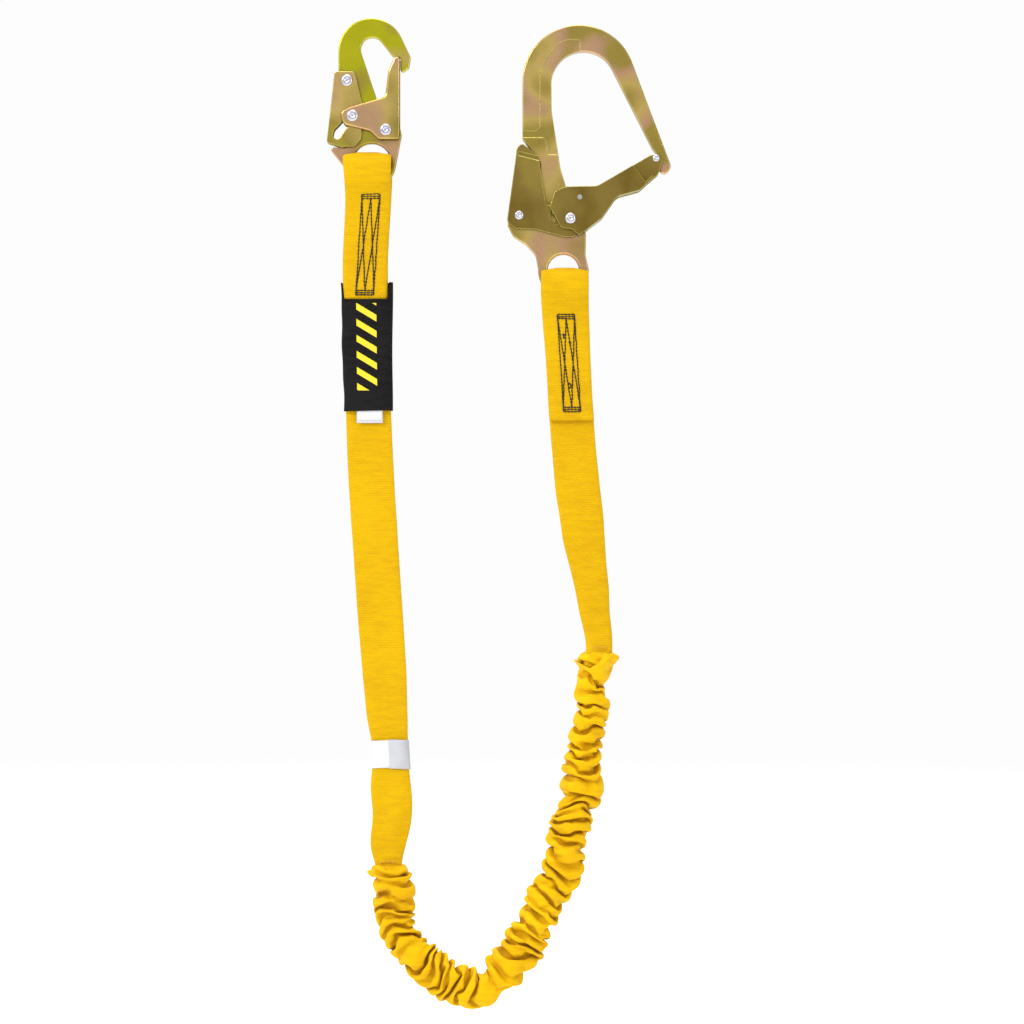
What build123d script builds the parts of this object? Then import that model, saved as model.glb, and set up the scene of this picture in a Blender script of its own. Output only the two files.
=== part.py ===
"""Shock absorbing lanyard: tubular webbing with an elastic gathered length, a snap hook and a rebar hook.

The lanyard hangs as a U in the XZ plane and its front faces -Y. Millimetres, +Z up.
The origin is the centre of the snap hook's bowl. "Height" in a helper is the distance towards the front.
"""

import os

from build123d import *

os.makedirs("parts", exist_ok=True)

# ---------------------------------------------------------------- driving dimensions
RUNNING_CLEARANCE = 0.06  # radial, a moving plate on its rivet
PRESS_CLEARANCE = 0.01  # radial, a rivet in the piece that holds it
SHEET = 2.0  # pressed gates and levers
PLATE_GAP = 0.4  # between a lever plate and the body, or a gate plate and the lever
EDGE_ROUND = 1.0  # forged edges

SNAP_HALF = 4.5  # half the snap hook body's thickness
SNAP_BOWL_R = 9.8
SNAP_EYE = (-0.4, -96.5)
SNAP_EYE_R = 16.0
SNAP_GATE_PIVOT = (11.5, -69.3)
SNAP_LEVER_PIVOT = (-21.4, -27.2)
SNAP_LOCK_PIN = (-16.6, -57.4)
SNAP_GATE_RIVET_R = 3.5
SNAP_LEVER_RIVET_R = 3.2
SNAP_LOCK_PIN_R = 3.0
SNAP_SLOT_WIDTH = 7.0
SNAP_GATE_EDGE = 23.4  # x of the gate's folded edge

REBAR_HALF = 5.5
REBAR_BOWL_R = 27.22
REBAR_EYE = (162.2, -187.9)
REBAR_EYE_R = 13.2
REBAR_GATE_PIVOT = (168.1, -144.4)
REBAR_LEVER_PIVOT = (124.6, -141.6)
REBAR_NOSE_PIN = (240.7, -93.2)
REBAR_SPRING_STUD = (176.0, -126.5)
REBAR_LOCK_STUD = (154.5, -139.0)
REBAR_GATE_RIVET_R = 3.5
REBAR_LEVER_RIVET_R = 3.0
REBAR_NOSE_PIN_R = 2.3
REBAR_SLOT_WIDTH = 5.0
RELIEF = 0.7  # depth of the forged relief on the rebar hook's faces

WEB_HALF = 2.2  # half thickness of the tubular webbing, flat
LOOP_IN = 9.9  # inner half width of a hook loop, seen from the side
LOOP_OUT = 13.5
LOOP_WALL = LOOP_OUT - LOOP_IN
LOOP_NECK = 9.5  # inside this depth a loop is narrowed to pass through its eye
SIDE_SPAN = 160.0  # side profiles run this far in x, past the strap's edges
THROUGH = 30.0  # front profiles run this far in y, past the strap's faces
WEB_WALL = 1.0  # jacket wall around the core strap
WEB_EDGE = 2.5  # jacket edge beside the core strap
CORE_HALF = 0.9  # half thickness of the flat core strap
PAD_THICK = 1.2
THREAD = 0.75
GATHER_R = 14.0
GATHER_WALL = 2.0
YARN_HALF_WIDTH = 8.5  # the absorber core's oval section
YARN_HALF_DEPTH = 4.0
STRAND_WIDTH = 11.0  # elastic strands, one each side of the core
STRAND_THICK = 1.6
STRAND_OFFSET = 7.0


# ---------------------------------------------------------------- helpers
def outline(corners, height=0.0):
    """Face on the XZ plane through (x, z, corner radius) corners, moved towards the front by height."""
    with BuildSketch(Plane.XZ.offset(height)) as face:
        with BuildLine():
            FilletPolyline(
                [(x, z) for x, z, r in corners],
                radius=[r for x, z, r in corners],
                close=True,
            )
        make_face()
    return face.sketch


def side_outline(corners, x=0.0):
    """Face on the YZ plane through (y, z, corner radius) corners."""
    with BuildSketch(Plane.YZ.offset(x)) as face:
        with BuildLine():
            FilletPolyline(
                [(y, z) for y, z, r in corners],
                radius=[r for y, z, r in corners],
                close=True,
            )
        make_face()
    return face.sketch


def disc(centre, radius, height=0.0):
    """Round face on the XZ plane."""
    with BuildSketch(Plane.XZ.offset(height)) as face:
        with Locations(centre):
            Circle(radius)
    return face.sketch


def slot(path, width, height=0.0):
    """Round-ended slot along an arc through three centres on the XZ plane."""
    with BuildSketch(Plane.XZ.offset(height)) as face:
        with BuildLine():
            ThreePointArc(*path)
        trace(line_width=width)
        with Locations(path[0], path[-1]):
            Circle(width / 2)
    return face.sketch


def band(points, corner, width, height=0.0):
    """Strip of even width along a polyline with rounded corners, on the XZ plane."""
    with BuildSketch(Plane.XZ.offset(height)) as face:
        with BuildLine():
            FilletPolyline(points, radius=corner)
        trace(line_width=width)
    return face.sketch


def strap_face(stations, trim=0.0, width=None):
    """Strap seen from the front. A station is (z, centre x, width), listed from the top down."""
    left = []
    right = []
    for z, x, full in stations:
        half = (width if width else full) / 2 - trim
        left.append((x - half, z))
        right.append((x + half, z))
    with BuildSketch(Plane.XZ) as face:
        with BuildLine():
            Spline(left)
            Line(left[-1], right[-1])
            Spline(list(reversed(right)))
            Line(right[0], left[0])
        make_face()
    return face.sketch


def rivet(centre, shank, head, dome, half_span):
    """Rivet along Y with a domed, dimpled head at each end."""
    middle = Plane(origin=(centre[0], 0, centre[1]), x_dir=(1, 0, 0), z_dir=(0, 0, 1))
    crown = half_span + dome
    dimple = half_span + 0.6 * dome
    with BuildPart() as piece:
        with BuildSketch(middle):
            with BuildLine():
                for side in (1, -1):
                    Polyline(
                        (shank, 0),
                        (shank, side * half_span),
                        (head, side * half_span),
                        (head, side * (half_span + 0.3 * dome)),
                    )
                    ThreePointArc(
                        (head, side * (half_span + 0.3 * dome)),
                        (0.78 * head, side * (half_span + 0.85 * dome)),
                        (0.45 * head, side * crown),
                    )
                    Polyline((0.45 * head, side * crown), (0.2 * head, side * dimple), (0, side * dimple))
                Line((0, dimple), (0, -dimple))
            make_face()
        revolve(axis=Axis((centre[0], 0, centre[1]), (0, 1, 0)))
    return piece.part


def washer(centre, inner, outer, near, far):
    """Flat ring around a pivot, on the front side, between two distances from the middle plane."""
    with BuildPart() as piece:
        with BuildSketch(Plane.XZ.offset(near)):
            with Locations(centre):
                Circle(outer)
                Circle(inner, mode=Mode.SUBTRACT)
        extrude(amount=far - near)
    return piece.part


def coil(start, direction, radius, wire, pitch, length):
    """Round wire wound about an axis."""
    with BuildPart() as piece:
        with BuildLine() as path:
            Helix(pitch, length, radius, center=start, direction=direction)
        with BuildSketch(Plane(origin=path.line @ 0, z_dir=path.line % 0)):
            Circle(wire)
        sweep(is_frenet=True)
    return piece.part


def box_stitch(top, bottom, half_width, height):
    """Box stitch in cord: two closed end bars, two sides and two crossing pairs of diagonals."""
    x_top, z_top = top
    x_bottom, z_bottom = bottom
    bar = 3.4
    slope = (x_bottom - x_top) / (z_bottom - z_top)

    def at(z, offset):
        return (x_top + (z - z_top) * slope + offset, z)

    ends = [(z_top, z_top - bar), (z_bottom + bar, z_bottom)]
    strands = []
    for high, low in ends:
        strands.append((at(high, -half_width), at(high, half_width)))
        strands.append((at(low, -half_width), at(low, half_width)))
    for side in (-half_width, half_width):
        strands.append((at(z_top, side), at(z_bottom, side)))
        strands.append((at(z_top - bar, 0), at(z_bottom + bar, side)))
        strands.append((at(z_bottom + bar, 0), at(z_top - bar, side)))
    with BuildSketch(Plane.XZ.offset(height)) as face:
        for start, end in strands:
            with BuildLine():
                Line(start, end)
            trace(line_width=THREAD)
    return face.sketch


def save(part, label):
    part.label = label
    export_step(part, f"parts/{label}.step")


# ---------------------------------------------------------------- snap hook
SNAP_BODY = [
    (-28.8, 25.9, 27.9),
    (16.9, 25.9, 27.9),
    (32.6, -6.9, 3.0),
    (31.2, -16.0, 4.0),
    (24.0, -21.6, 2.2),
    (23.9, -7.9, 1.0),
    (17.0, -6.0, 1.5),
    (4.81, 9.8, SNAP_BOWL_R),
    (-13.66, 9.8, SNAP_BOWL_R),
    (3.6, -41.8, 4.0),
    (18.4, -60.6, 3.0),
    (24.0, -68.2, 1.5),
    (24.9, -73.1, 3.0),
    (16.4, -117.3, 20.4),
    (-10.4, -117.3, 20.6),
    (-37.0, -83.8, 2.0),
    (-22.5, -83.8, 2.5),
    (-12.6, -76.5, 3.0),
    (-12.6, -51.0, 3.0),
    (-26.2, -51.0, 1.5),
    (-28.6, -30.0, 6.0),
]

SNAP_SPRING_Z = -42.0
with BuildPart() as snap_hook_body:
    extrude(outline(SNAP_BODY), amount=SNAP_HALF, both=True)
    rims = snap_hook_body.edges().filter_by(lambda e: abs(abs(e.center().Y) - SNAP_HALF) < 0.01)
    fillet(rims, EDGE_ROUND)
    extrude(disc(SNAP_EYE, SNAP_EYE_R), amount=SNAP_HALF, both=True, mode=Mode.SUBTRACT)
    eye_rims = snap_hook_body.edges().filter_by(
        lambda e: abs(abs(e.center().Y) - SNAP_HALF) < 0.01 and abs(e.radius - SNAP_EYE_R) < 0.01
        if e.geom_type == GeomType.CIRCLE
        else False
    )
    fillet(eye_rims, 1.8)
    for pivot, shank in ((SNAP_GATE_PIVOT, SNAP_GATE_RIVET_R), (SNAP_LEVER_PIVOT, SNAP_LEVER_RIVET_R)):
        extrude(disc(pivot, shank + PRESS_CLEARANCE), amount=SNAP_HALF, both=True, mode=Mode.SUBTRACT)
    with BuildSketch(Plane.YZ.offset(-20.3)):
        with Locations((0, SNAP_SPRING_Z)):
            Circle(3.0)
    extrude(amount=-20, mode=Mode.SUBTRACT)
save(snap_hook_body.part, "snap_hook_body")

SNAP_LEVER_IN = SNAP_HALF + PLATE_GAP
SNAP_LEVER_OUT = SNAP_LEVER_IN + SHEET
SNAP_GATE_IN = SNAP_LEVER_OUT + PLATE_GAP
SNAP_GATE_OUT = SNAP_GATE_IN + SHEET

SNAP_GATE = [
    (23.4, -7.4, 2.0),
    (19.0, -7.4, 2.0),
    (13.8, -19.0, 8.0),
    (11.2, -41.2, 5.0),
    (-20.0, -50.2, 7.0),
    (-26.8, -54.0, 4.0),
    (-24.6, -64.6, 6.0),
    (-1.0, -70.6, 6.0),
    (5.5, -77.4, 3.0),
    (23.4, -77.4, 3.0),
]
with BuildPart() as snap_gate:
    for side in (1, -1):
        extrude(outline(SNAP_GATE, side * SNAP_GATE_IN), amount=side * SHEET)
    fold = [(SNAP_GATE_EDGE - SHEET / 2, -10.0), (SNAP_GATE_EDGE - SHEET / 2, -62.0)]
    with BuildSketch(Plane.XZ):
        with BuildLine():
            Line(*fold)
        trace(line_width=SHEET)
    extrude(amount=SNAP_GATE_OUT, both=True)
    folded = snap_gate.edges().filter_by(
        lambda e: abs(abs(e.center().Y) - SNAP_GATE_OUT) < 0.01
        and abs(e.center().X - SNAP_GATE_EDGE) < 0.01
    )
    fillet(folded, 1.6)
    extrude(
        disc(SNAP_GATE_PIVOT, SNAP_GATE_RIVET_R + RUNNING_CLEARANCE),
        amount=THROUGH,
        both=True,
        mode=Mode.SUBTRACT,
    )
    extrude(
        disc(SNAP_LOCK_PIN, SNAP_LOCK_PIN_R + PRESS_CLEARANCE),
        amount=THROUGH,
        both=True,
        mode=Mode.SUBTRACT,
    )
save(snap_gate.part, "snap_gate")

SNAP_LEVER = [
    (-31.8, -19.6, 2.5),
    (-15.0, -19.6, 3.0),
    (-8.8, -45.2, 20.0),
    (-9.2, -76.5, 4.0),
    (-14.5, -83.3, 4.0),
    (-27.0, -83.5, 8.0),
    (-38.5, -79.6, 1.5),
]
# the lock pin's path through the lever as the gate opens twice as far as the lever turns
SNAP_SLOT = [SNAP_LOCK_PIN, (-22.3, -63.6), (-28.9, -70.4)]
SNAP_SLOT_FOOT = [(-28.9, -70.4), (-29.4, -71.9), (-29.6, -73.6)]
SNAP_SLOT_EASE = [(-21.8, -63.0), (-26.2, -68.0), (-29.6, -73.6)]
with BuildPart() as snap_lock_lever:
    for side in (1, -1):
        extrude(outline(SNAP_LEVER, side * SNAP_LEVER_IN), amount=side * SHEET)
    with BuildSketch(Plane.XZ):
        with BuildLine():
            Line((-31.1, -21.5), (-37.0, -79.0))
        trace(line_width=SHEET)
    extrude(amount=SNAP_LEVER_OUT - 0.3, both=True)
    extrude(
        disc(SNAP_LEVER_PIVOT, SNAP_LEVER_RIVET_R + RUNNING_CLEARANCE),
        amount=THROUGH,
        both=True,
        mode=Mode.SUBTRACT,
    )
    for path in (SNAP_SLOT, SNAP_SLOT_FOOT, SNAP_SLOT_EASE):
        extrude(slot(path, SNAP_SLOT_WIDTH), amount=THROUGH, both=True, mode=Mode.SUBTRACT)
save(snap_lock_lever.part, "snap_lock_lever")

save(rivet(SNAP_GATE_PIVOT, SNAP_GATE_RIVET_R, 4.9, 1.5, SNAP_GATE_OUT + 0.1), "snap_gate_rivet")
save(rivet(SNAP_LEVER_PIVOT, SNAP_LEVER_RIVET_R, 4.9, 1.5, SNAP_LEVER_OUT + 0.1), "snap_lever_rivet")
save(rivet(SNAP_LOCK_PIN, SNAP_LOCK_PIN_R, 4.9, 1.5, SNAP_GATE_OUT), "snap_lock_pin")
save(washer(SNAP_GATE_PIVOT, 3.6, 6.2, SNAP_HALF + 0.1, SNAP_GATE_IN - 0.1), "snap_gate_washer")
save(
    coil((SNAP_GATE_PIVOT[0], SNAP_HALF + 0.75, SNAP_GATE_PIVOT[1]), (0, 1, 0), 5.2, 0.55, 1.3, 1.25),
    "snap_gate_spring",
)
save(coil((-31.2, 0, SNAP_SPRING_Z), (1, 0, 0), 2.2, 0.4, 1.7, 10.2), "snap_lever_spring")

# ---------------------------------------------------------------- rebar hook
REBAR_BODY = [
    (127.5, 20.0, 47.9),
    (208.6, 20.0, 47.9),
    (254.4, -101.6, 6.0),
    (247.2, -107.4, 3.2),
    (241.2, -99.4, 1.5),
    (239.9, -88.9, 2.0),
    (196.0, -2.3, REBAR_BOWL_R),
    (151.6, -2.3, REBAR_BOWL_R),
    (152.4, -54.0, 60.0),
    (159.9, -102.4, 40.0),
    (165.4, -120.2, 2.0),
    (178.5, -134.0, 8.0),
    (181.8, -147.0, 5.0),
    (177.6, -153.8, 1.5),
    (181.4, -156.2, 1.5),
    (181.0, -175.0, 12.0),
    (183.7, -187.0, 6.0),
    (183.7, -209.4, 21.3),
    (140.7, -209.4, 21.3),
    (140.7, -187.0, 6.0),
    (138.8, -175.6, 10.0),
    (130.5, -166.4, 10.0),
    (119.6, -159.2, 8.0),
    (114.0, -147.9, 1.5),
    (118.4, -147.9, 0.8),
    (118.4, -134.4, 6.0),
    (141.2, -130.0, 4.0),
    (142.6, -97.3, 6.0),
    (127.5, -76.6, 4.0),
]
REBAR_RELIEF = [
    (120.0, -70.0, 0.5),
    (142.3, -70.0, 5.0),
    (142.3, -17.0, 30.0),
    (158.0, 7.5, 20.0),
    (176.5, 7.5, 2.0),
    (175.0, -20.0, 1.0),
    (160.0, -50.0, 1.0),
    (166.0, -90.0, 1.0),
    (148.8, -90.0, 1.0),
    (147.2, -75.5, 3.5),
    (120.0, -75.5, 0.5),
]
REBAR_ARM_RELIEF = [(218.5, -8.0, 1.0), (245.2, -81.5, 1.0), (256.0, -81.5, 1.0), (229.5, -8.0, 1.0)]
REBAR_SPRING_Z = -112.0
NOSE_REACH = 88.8  # nose pin to gate pivot
with BuildPart() as rebar_hook_body:
    extrude(outline(REBAR_BODY), amount=REBAR_HALF, both=True)
    rims = rebar_hook_body.edges().filter_by(lambda e: abs(abs(e.center().Y) - REBAR_HALF) < 0.01)
    fillet(rims, EDGE_ROUND)
    for side in (1, -1):
        extrude(outline(REBAR_RELIEF, side * REBAR_HALF), amount=-side * RELIEF, mode=Mode.SUBTRACT)
        extrude(outline(REBAR_ARM_RELIEF, side * REBAR_HALF), amount=-side * RELIEF, mode=Mode.SUBTRACT)
    extrude(disc(REBAR_EYE, REBAR_EYE_R), amount=REBAR_HALF, both=True, mode=Mode.SUBTRACT)
    eye_rims = rebar_hook_body.edges().filter_by(
        lambda e: abs(abs(e.center().Y) - REBAR_HALF) < 0.01 and abs(e.radius - REBAR_EYE_R) < 0.01
        if e.geom_type == GeomType.CIRCLE
        else False
    )
    fillet(eye_rims, 2.2)
    for pivot, shank in ((REBAR_GATE_PIVOT, REBAR_GATE_RIVET_R), (REBAR_LEVER_PIVOT, REBAR_LEVER_RIVET_R)):
        extrude(disc(pivot, shank + PRESS_CLEARANCE), amount=REBAR_HALF, both=True, mode=Mode.SUBTRACT)
    with BuildSketch(Plane.YZ.offset(148.0)):
        with Locations((0, REBAR_SPRING_Z)):
            Circle(3.8)
    extrude(amount=-20, mode=Mode.SUBTRACT)
    # the nose is notched along the path of the gate's pin
    with BuildSketch(Plane.XZ):
        with BuildLine():
            CenterArc(REBAR_GATE_PIVOT, NOSE_REACH, 35.2, 14)
        trace(line_width=5.8)
        with Locations(REBAR_NOSE_PIN):
            Circle(2.9)
    extrude(amount=REBAR_HALF, both=True, mode=Mode.SUBTRACT)
save(rebar_hook_body.part, "rebar_hook_body")

REBAR_LEVER_IN = REBAR_HALF + PLATE_GAP
REBAR_LEVER_OUT = REBAR_LEVER_IN + SHEET
REBAR_GATE_IN = REBAR_LEVER_OUT + PLATE_GAP
REBAR_GATE_OUT = REBAR_GATE_IN + SHEET
NOSE_PLATE_OUT = REBAR_LEVER_IN + SHEET

REBAR_GATE = [
    (150.6, -134.4, 2.5),
    (155.0, -121.2, 8.0),
    (164.5, -117.5, 6.0),
    (191.0, -117.0, 12.0),
    (238.5, -89.3, 5.0),
    (246.3, -95.2, 3.0),
    (242.8, -106.6, 3.0),
    (226.5, -120.7, 6.0),
    (207.5, -125.8, 10.0),
    (194.5, -144.4, 4.0),
    (175.4, -159.0, 1.2),
    (169.2, -153.5, 3.0),
    (160.3, -152.6, 4.0),
]
# the gate steps in towards the nose along this slanting line
STEP_LINE = (224.2, -105.5)
STEP_TILT = 36.7
FOLD_PATH = [(238.2, -109.0), (225.9, -119.2), (206.6, -124.5), (193.2, -143.9), (175.6, -157.6)]


def gate_zone(corners, height, start, end):
    """The part of the gate outline between two distances along the gate from the step."""
    with BuildSketch(Plane.XZ.offset(height)) as face:
        with BuildLine():
            FilletPolyline(
                [(x, z) for x, z, r in corners],
                radius=[r for x, z, r in corners],
                close=True,
            )
        make_face()
        with Locations(Location((STEP_LINE[0], STEP_LINE[1], 0), (0, 0, STEP_TILT))):
            with Locations(((start + end) / 2, 0)):
                Rectangle(end - start, 200, mode=Mode.INTERSECT)
    return face.sketch


with BuildPart() as rebar_gate:
    for side in (1, -1):
        extrude(gate_zone(REBAR_GATE, side * REBAR_GATE_IN, -120, 1.2), amount=side * SHEET)
        extrude(gate_zone(REBAR_GATE, side * REBAR_LEVER_IN, -1.2, 60), amount=side * SHEET)
        extrude(
            gate_zone(REBAR_GATE, side * REBAR_LEVER_IN, -1.2, 1.2),
            amount=side * (REBAR_GATE_OUT - REBAR_LEVER_IN),
        )
        # rolled edge down to the tail, outside the body's thickness
        extrude(band(FOLD_PATH, 4.0, SHEET, side * 6.1), amount=side * (REBAR_GATE_OUT - 0.6 - 6.1))
        # stud that rides in the lever's slot
        extrude(disc(REBAR_LOCK_STUD, 2.0, side * (REBAR_LEVER_IN + 0.2)), amount=side * 3.0)
    extrude(band(FOLD_PATH[:4] + [(182.4, -152.4)], 4.0, SHEET), amount=REBAR_LEVER_OUT - 0.3, both=True)
    extrude(
        disc(REBAR_GATE_PIVOT, REBAR_GATE_RIVET_R + RUNNING_CLEARANCE),
        amount=THROUGH,
        both=True,
        mode=Mode.SUBTRACT,
    )
    extrude(
        disc(REBAR_NOSE_PIN, REBAR_NOSE_PIN_R + PRESS_CLEARANCE),
        amount=THROUGH,
        both=True,
        mode=Mode.SUBTRACT,
    )
    extrude(disc(REBAR_SPRING_STUD, 1.4 + PRESS_CLEARANCE), amount=THROUGH, both=True, mode=Mode.SUBTRACT)
save(rebar_gate.part, "rebar_gate")

REBAR_LEVER = [
    (122.8, -84.4, 3.0),
    (127.2, -80.8, 2.0),
    (141.2, -91.6, 2.0),
    (143.5, -108.0, 30.0),
    (147.4, -133.0, 4.0),
    (158.4, -133.4, 3.0),
    (159.4, -148.0, 4.0),
    (173.6, -154.6, 2.2),
    (171.6, -159.9, 3.0),
    (163.0, -160.1, 8.0),
    (148.0, -156.2, 20.0),
    (137.5, -153.3, 20.0),
    (121.0, -153.0, 6.0),
    (114.9, -146.8, 1.5),
]
# the lock studs' path through the lever
REBAR_SLOT = [REBAR_LOCK_STUD, (153.5, -142.8), (155.1, -147.1)]
with BuildPart() as rebar_lock_lever:
    for side in (1, -1):
        extrude(outline(REBAR_LEVER, side * REBAR_LEVER_IN), amount=side * SHEET)
        # pressed groove that sets the thumb cap off from the plate
        with BuildSketch(Plane.XZ.offset(side * REBAR_LEVER_OUT)):
            with BuildLine():
                Line((124.0, -89.2), (143.0, -94.0))
            trace(line_width=3.2)
        extrude(amount=-side * 1.2, mode=Mode.SUBTRACT)
    with BuildSketch(Plane.XZ):
        with BuildLine():
            Line((123.7, -86.0), (115.5, -145.4))
        trace(line_width=SHEET)
    extrude(amount=REBAR_LEVER_OUT - 0.3, both=True)
    extrude(
        disc(REBAR_LEVER_PIVOT, REBAR_LEVER_RIVET_R + RUNNING_CLEARANCE),
        amount=THROUGH,
        both=True,
        mode=Mode.SUBTRACT,
    )
    extrude(slot(REBAR_SLOT, REBAR_SLOT_WIDTH), amount=THROUGH, both=True, mode=Mode.SUBTRACT)
save(rebar_lock_lever.part, "rebar_lock_lever")

save(rivet(REBAR_GATE_PIVOT, REBAR_GATE_RIVET_R, 4.6, 1.6, REBAR_GATE_OUT + 0.1), "rebar_gate_rivet")
save(rivet(REBAR_LEVER_PIVOT, REBAR_LEVER_RIVET_R, 3.7, 1.2, REBAR_LEVER_OUT + 0.1), "rebar_lever_rivet")
save(rivet(REBAR_NOSE_PIN, REBAR_NOSE_PIN_R, 2.9, 0.8, NOSE_PLATE_OUT), "rebar_nose_pin")
with BuildPart() as rebar_spring_studs:
    for side in (1, -1):
        extrude(disc(REBAR_SPRING_STUD, 1.4, side * 6.2), amount=side * (REBAR_GATE_OUT - 6.2))
        extrude(disc(REBAR_SPRING_STUD, 2.0, side * REBAR_GATE_OUT), amount=side * 0.5)
save(rebar_spring_studs.part, "rebar_spring_studs")
save(washer(REBAR_GATE_PIVOT, 3.6, 5.2, REBAR_HALF + 0.1, REBAR_GATE_IN - 0.1), "rebar_gate_washer")
save(
    coil((REBAR_GATE_PIVOT[0], REBAR_HALF + 0.75, REBAR_GATE_PIVOT[1]), (0, 1, 0), 4.7, 0.55, 1.3, 1.25),
    "rebar_gate_spring",
)
save(coil((122.3, 0, REBAR_SPRING_Z), (1, 0, 0), 3.0, 0.5, 2.6, 24.5), "rebar_lever_spring")


# ---------------------------------------------------------------- webbing at the snap hook
def hook_loop(top, lug_bottom, join, tail_end, main_end, level):
    """Side view of a webbing end: loop, overlap of tail on main strip, then the main strip alone.

    top: crown of the loop. join: where the two legs meet. level: where the main strip is back on centre.
    """
    return [
        (-LOOP_OUT, top, LOOP_OUT - 0.1),
        (LOOP_OUT, top, LOOP_OUT - 0.1),
        (LOOP_OUT, lug_bottom + 4.5, 8.0),
        (10.0, lug_bottom - 4.0, 6.0),
        (2 * WEB_HALF - 0.2, join, 8.0),
        (2 * WEB_HALF - 0.2, tail_end, 60.0),
        (WEB_HALF, level, 60.0),
        (WEB_HALF, main_end, 0.5),
        (-WEB_HALF, main_end, 0.5),
        (-WEB_HALF, level, 60.0),
        (-0.2, tail_end - 4.0, 3.0),
        (-0.2, tail_end, 0.5),
        (-2 * WEB_HALF + 0.2, tail_end, 0.8),
        (-2 * WEB_HALF + 0.2, join, 8.0),
        (-10.0, lug_bottom - 4.0, 6.0),
        (-LOOP_OUT, lug_bottom + 4.5, 8.0),
    ]


def loop_hollow(top, lug_bottom, close):
    """Side view of the space inside a hook loop."""
    return [
        (-LOOP_IN, top, LOOP_IN - 0.1),
        (LOOP_IN, top, LOOP_IN - 0.1),
        (LOOP_IN, lug_bottom + 4.5, 6.0),
        (6.6, lug_bottom - 2.6, 3.0),
        (0, close, 0.6),
        (-6.6, lug_bottom - 2.6, 3.0),
        (-LOOP_IN, lug_bottom + 4.5, 6.0),
    ]


def wear_pad(centre_x, top, half_width, leg):
    """Thin lining of a hook loop."""
    out = LOOP_IN - 0.1
    inside = out - PAD_THICK
    crown = top - 0.1
    with BuildPart() as piece:
        corners = [
            (-out, crown, out - 0.1),
            (out, crown, out - 0.1),
            (out, leg, 0.3),
            (inside, leg, 0.3),
            (inside, crown - PAD_THICK, inside - 0.1),
            (-inside, crown - PAD_THICK, inside - 0.1),
            (-inside, leg, 0.3),
            (-out, leg, 0.3),
        ]
        extrude(side_outline(corners, centre_x - half_width), amount=2 * half_width)
    return piece.part


def loop_neck(centre_x, half_width, low, high):
    """The two blocks cut from a loop so that its crown passes through the hook's eye."""
    with BuildSketch(Plane.XZ) as face:
        for side in (1, -1):
            with Locations((centre_x + side * (half_width + 20), (low + high) / 2)):
                Rectangle(40, high - low)
    return face.sketch


SNAP_STATIONS = [
    (-86.0, -4.5, 40.5),
    (-110.0, -3.8, 39.5),
    (-128.0, -3.6, 38.0),
    (-179.0, -6.4, 37.5),
    (-213.0, -6.0, 37.5),
    (-307.0, -3.4, 37.5),
    (-376.0, -0.4, 38.5),
    (-427.0, 3.0, 38.5),
    (-478.0, 6.4, 38.5),
    (-529.0, 10.2, 37.0),
    (-570.0, 12.8, 34.5),
    (-587.0, 15.0, 29.6),
    (-611.0, 15.7, 29.6),
    (-630.0, 15.6, 34.0),
    (-651.0, 16.6, 32.0),
    (-682.0, 12.3, 30.0),
    (-697.0, 14.0, 22.0),
]
SNAP_LOOP_TOP = -88.0
SNAP_LUG_BOTTOM = -117.3
SNAP_JOIN = -126.0  # the two legs of the loop meet here
SNAP_TAIL_END = -213.0
SNAP_LEVEL = -298.0  # the strap has run back to its middle plane
SNAP_STRIP_END = -697.0
SNAP_SIDE = -60.0  # x where the side profiles start
SNAP_CORE_WIDTH = 20.0
with BuildPart() as snap_end_webbing:
    extrude(
        side_outline(
            hook_loop(SNAP_LOOP_TOP, SNAP_LUG_BOTTOM, SNAP_JOIN, SNAP_TAIL_END, SNAP_STRIP_END, SNAP_LEVEL),
            SNAP_SIDE,
        ),
        amount=SIDE_SPAN,
    )
    extrude(strap_face(SNAP_STATIONS), amount=THROUGH, both=True, mode=Mode.INTERSECT)
    extrude(
        side_outline(loop_hollow(SNAP_LOOP_TOP - LOOP_WALL, SNAP_LUG_BOTTOM, SNAP_JOIN + 1.4), SNAP_SIDE),
        amount=SIDE_SPAN,
        mode=Mode.SUBTRACT,
    )
    extrude(loop_neck(SNAP_EYE[0], 12.4, -122.0, -80.0), amount=LOOP_NECK, both=True, mode=Mode.SUBTRACT)
    extrude(
        strap_face(SNAP_STATIONS[5:], WEB_EDGE), amount=WEB_HALF - WEB_WALL, both=True, mode=Mode.SUBTRACT
    )
save(snap_end_webbing.part, "snap_end_webbing")
save(wear_pad(SNAP_EYE[0], SNAP_LOOP_TOP - LOOP_WALL, 12.0, -111.0), "snap_wear_pad")

with BuildPart() as snap_end_core:
    extrude(strap_face(SNAP_STATIONS[6:-1], width=SNAP_CORE_WIDTH), amount=CORE_HALF, both=True)
save(snap_end_core.part, "snap_end_core")

STITCH_TOP = (-1.0, -130.5)
STITCH_BOTTOM = (-6.4, -208.8)
STITCH_HALF = 7.4
with BuildPart() as snap_stitching:
    for side in (1, -1):
        extrude(
            box_stitch(STITCH_TOP, STITCH_BOTTOM, STITCH_HALF, side * (2 * WEB_HALF - 0.15)),
            amount=side * THREAD,
        )
save(snap_stitching.part, "snap_stitching")

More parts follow.
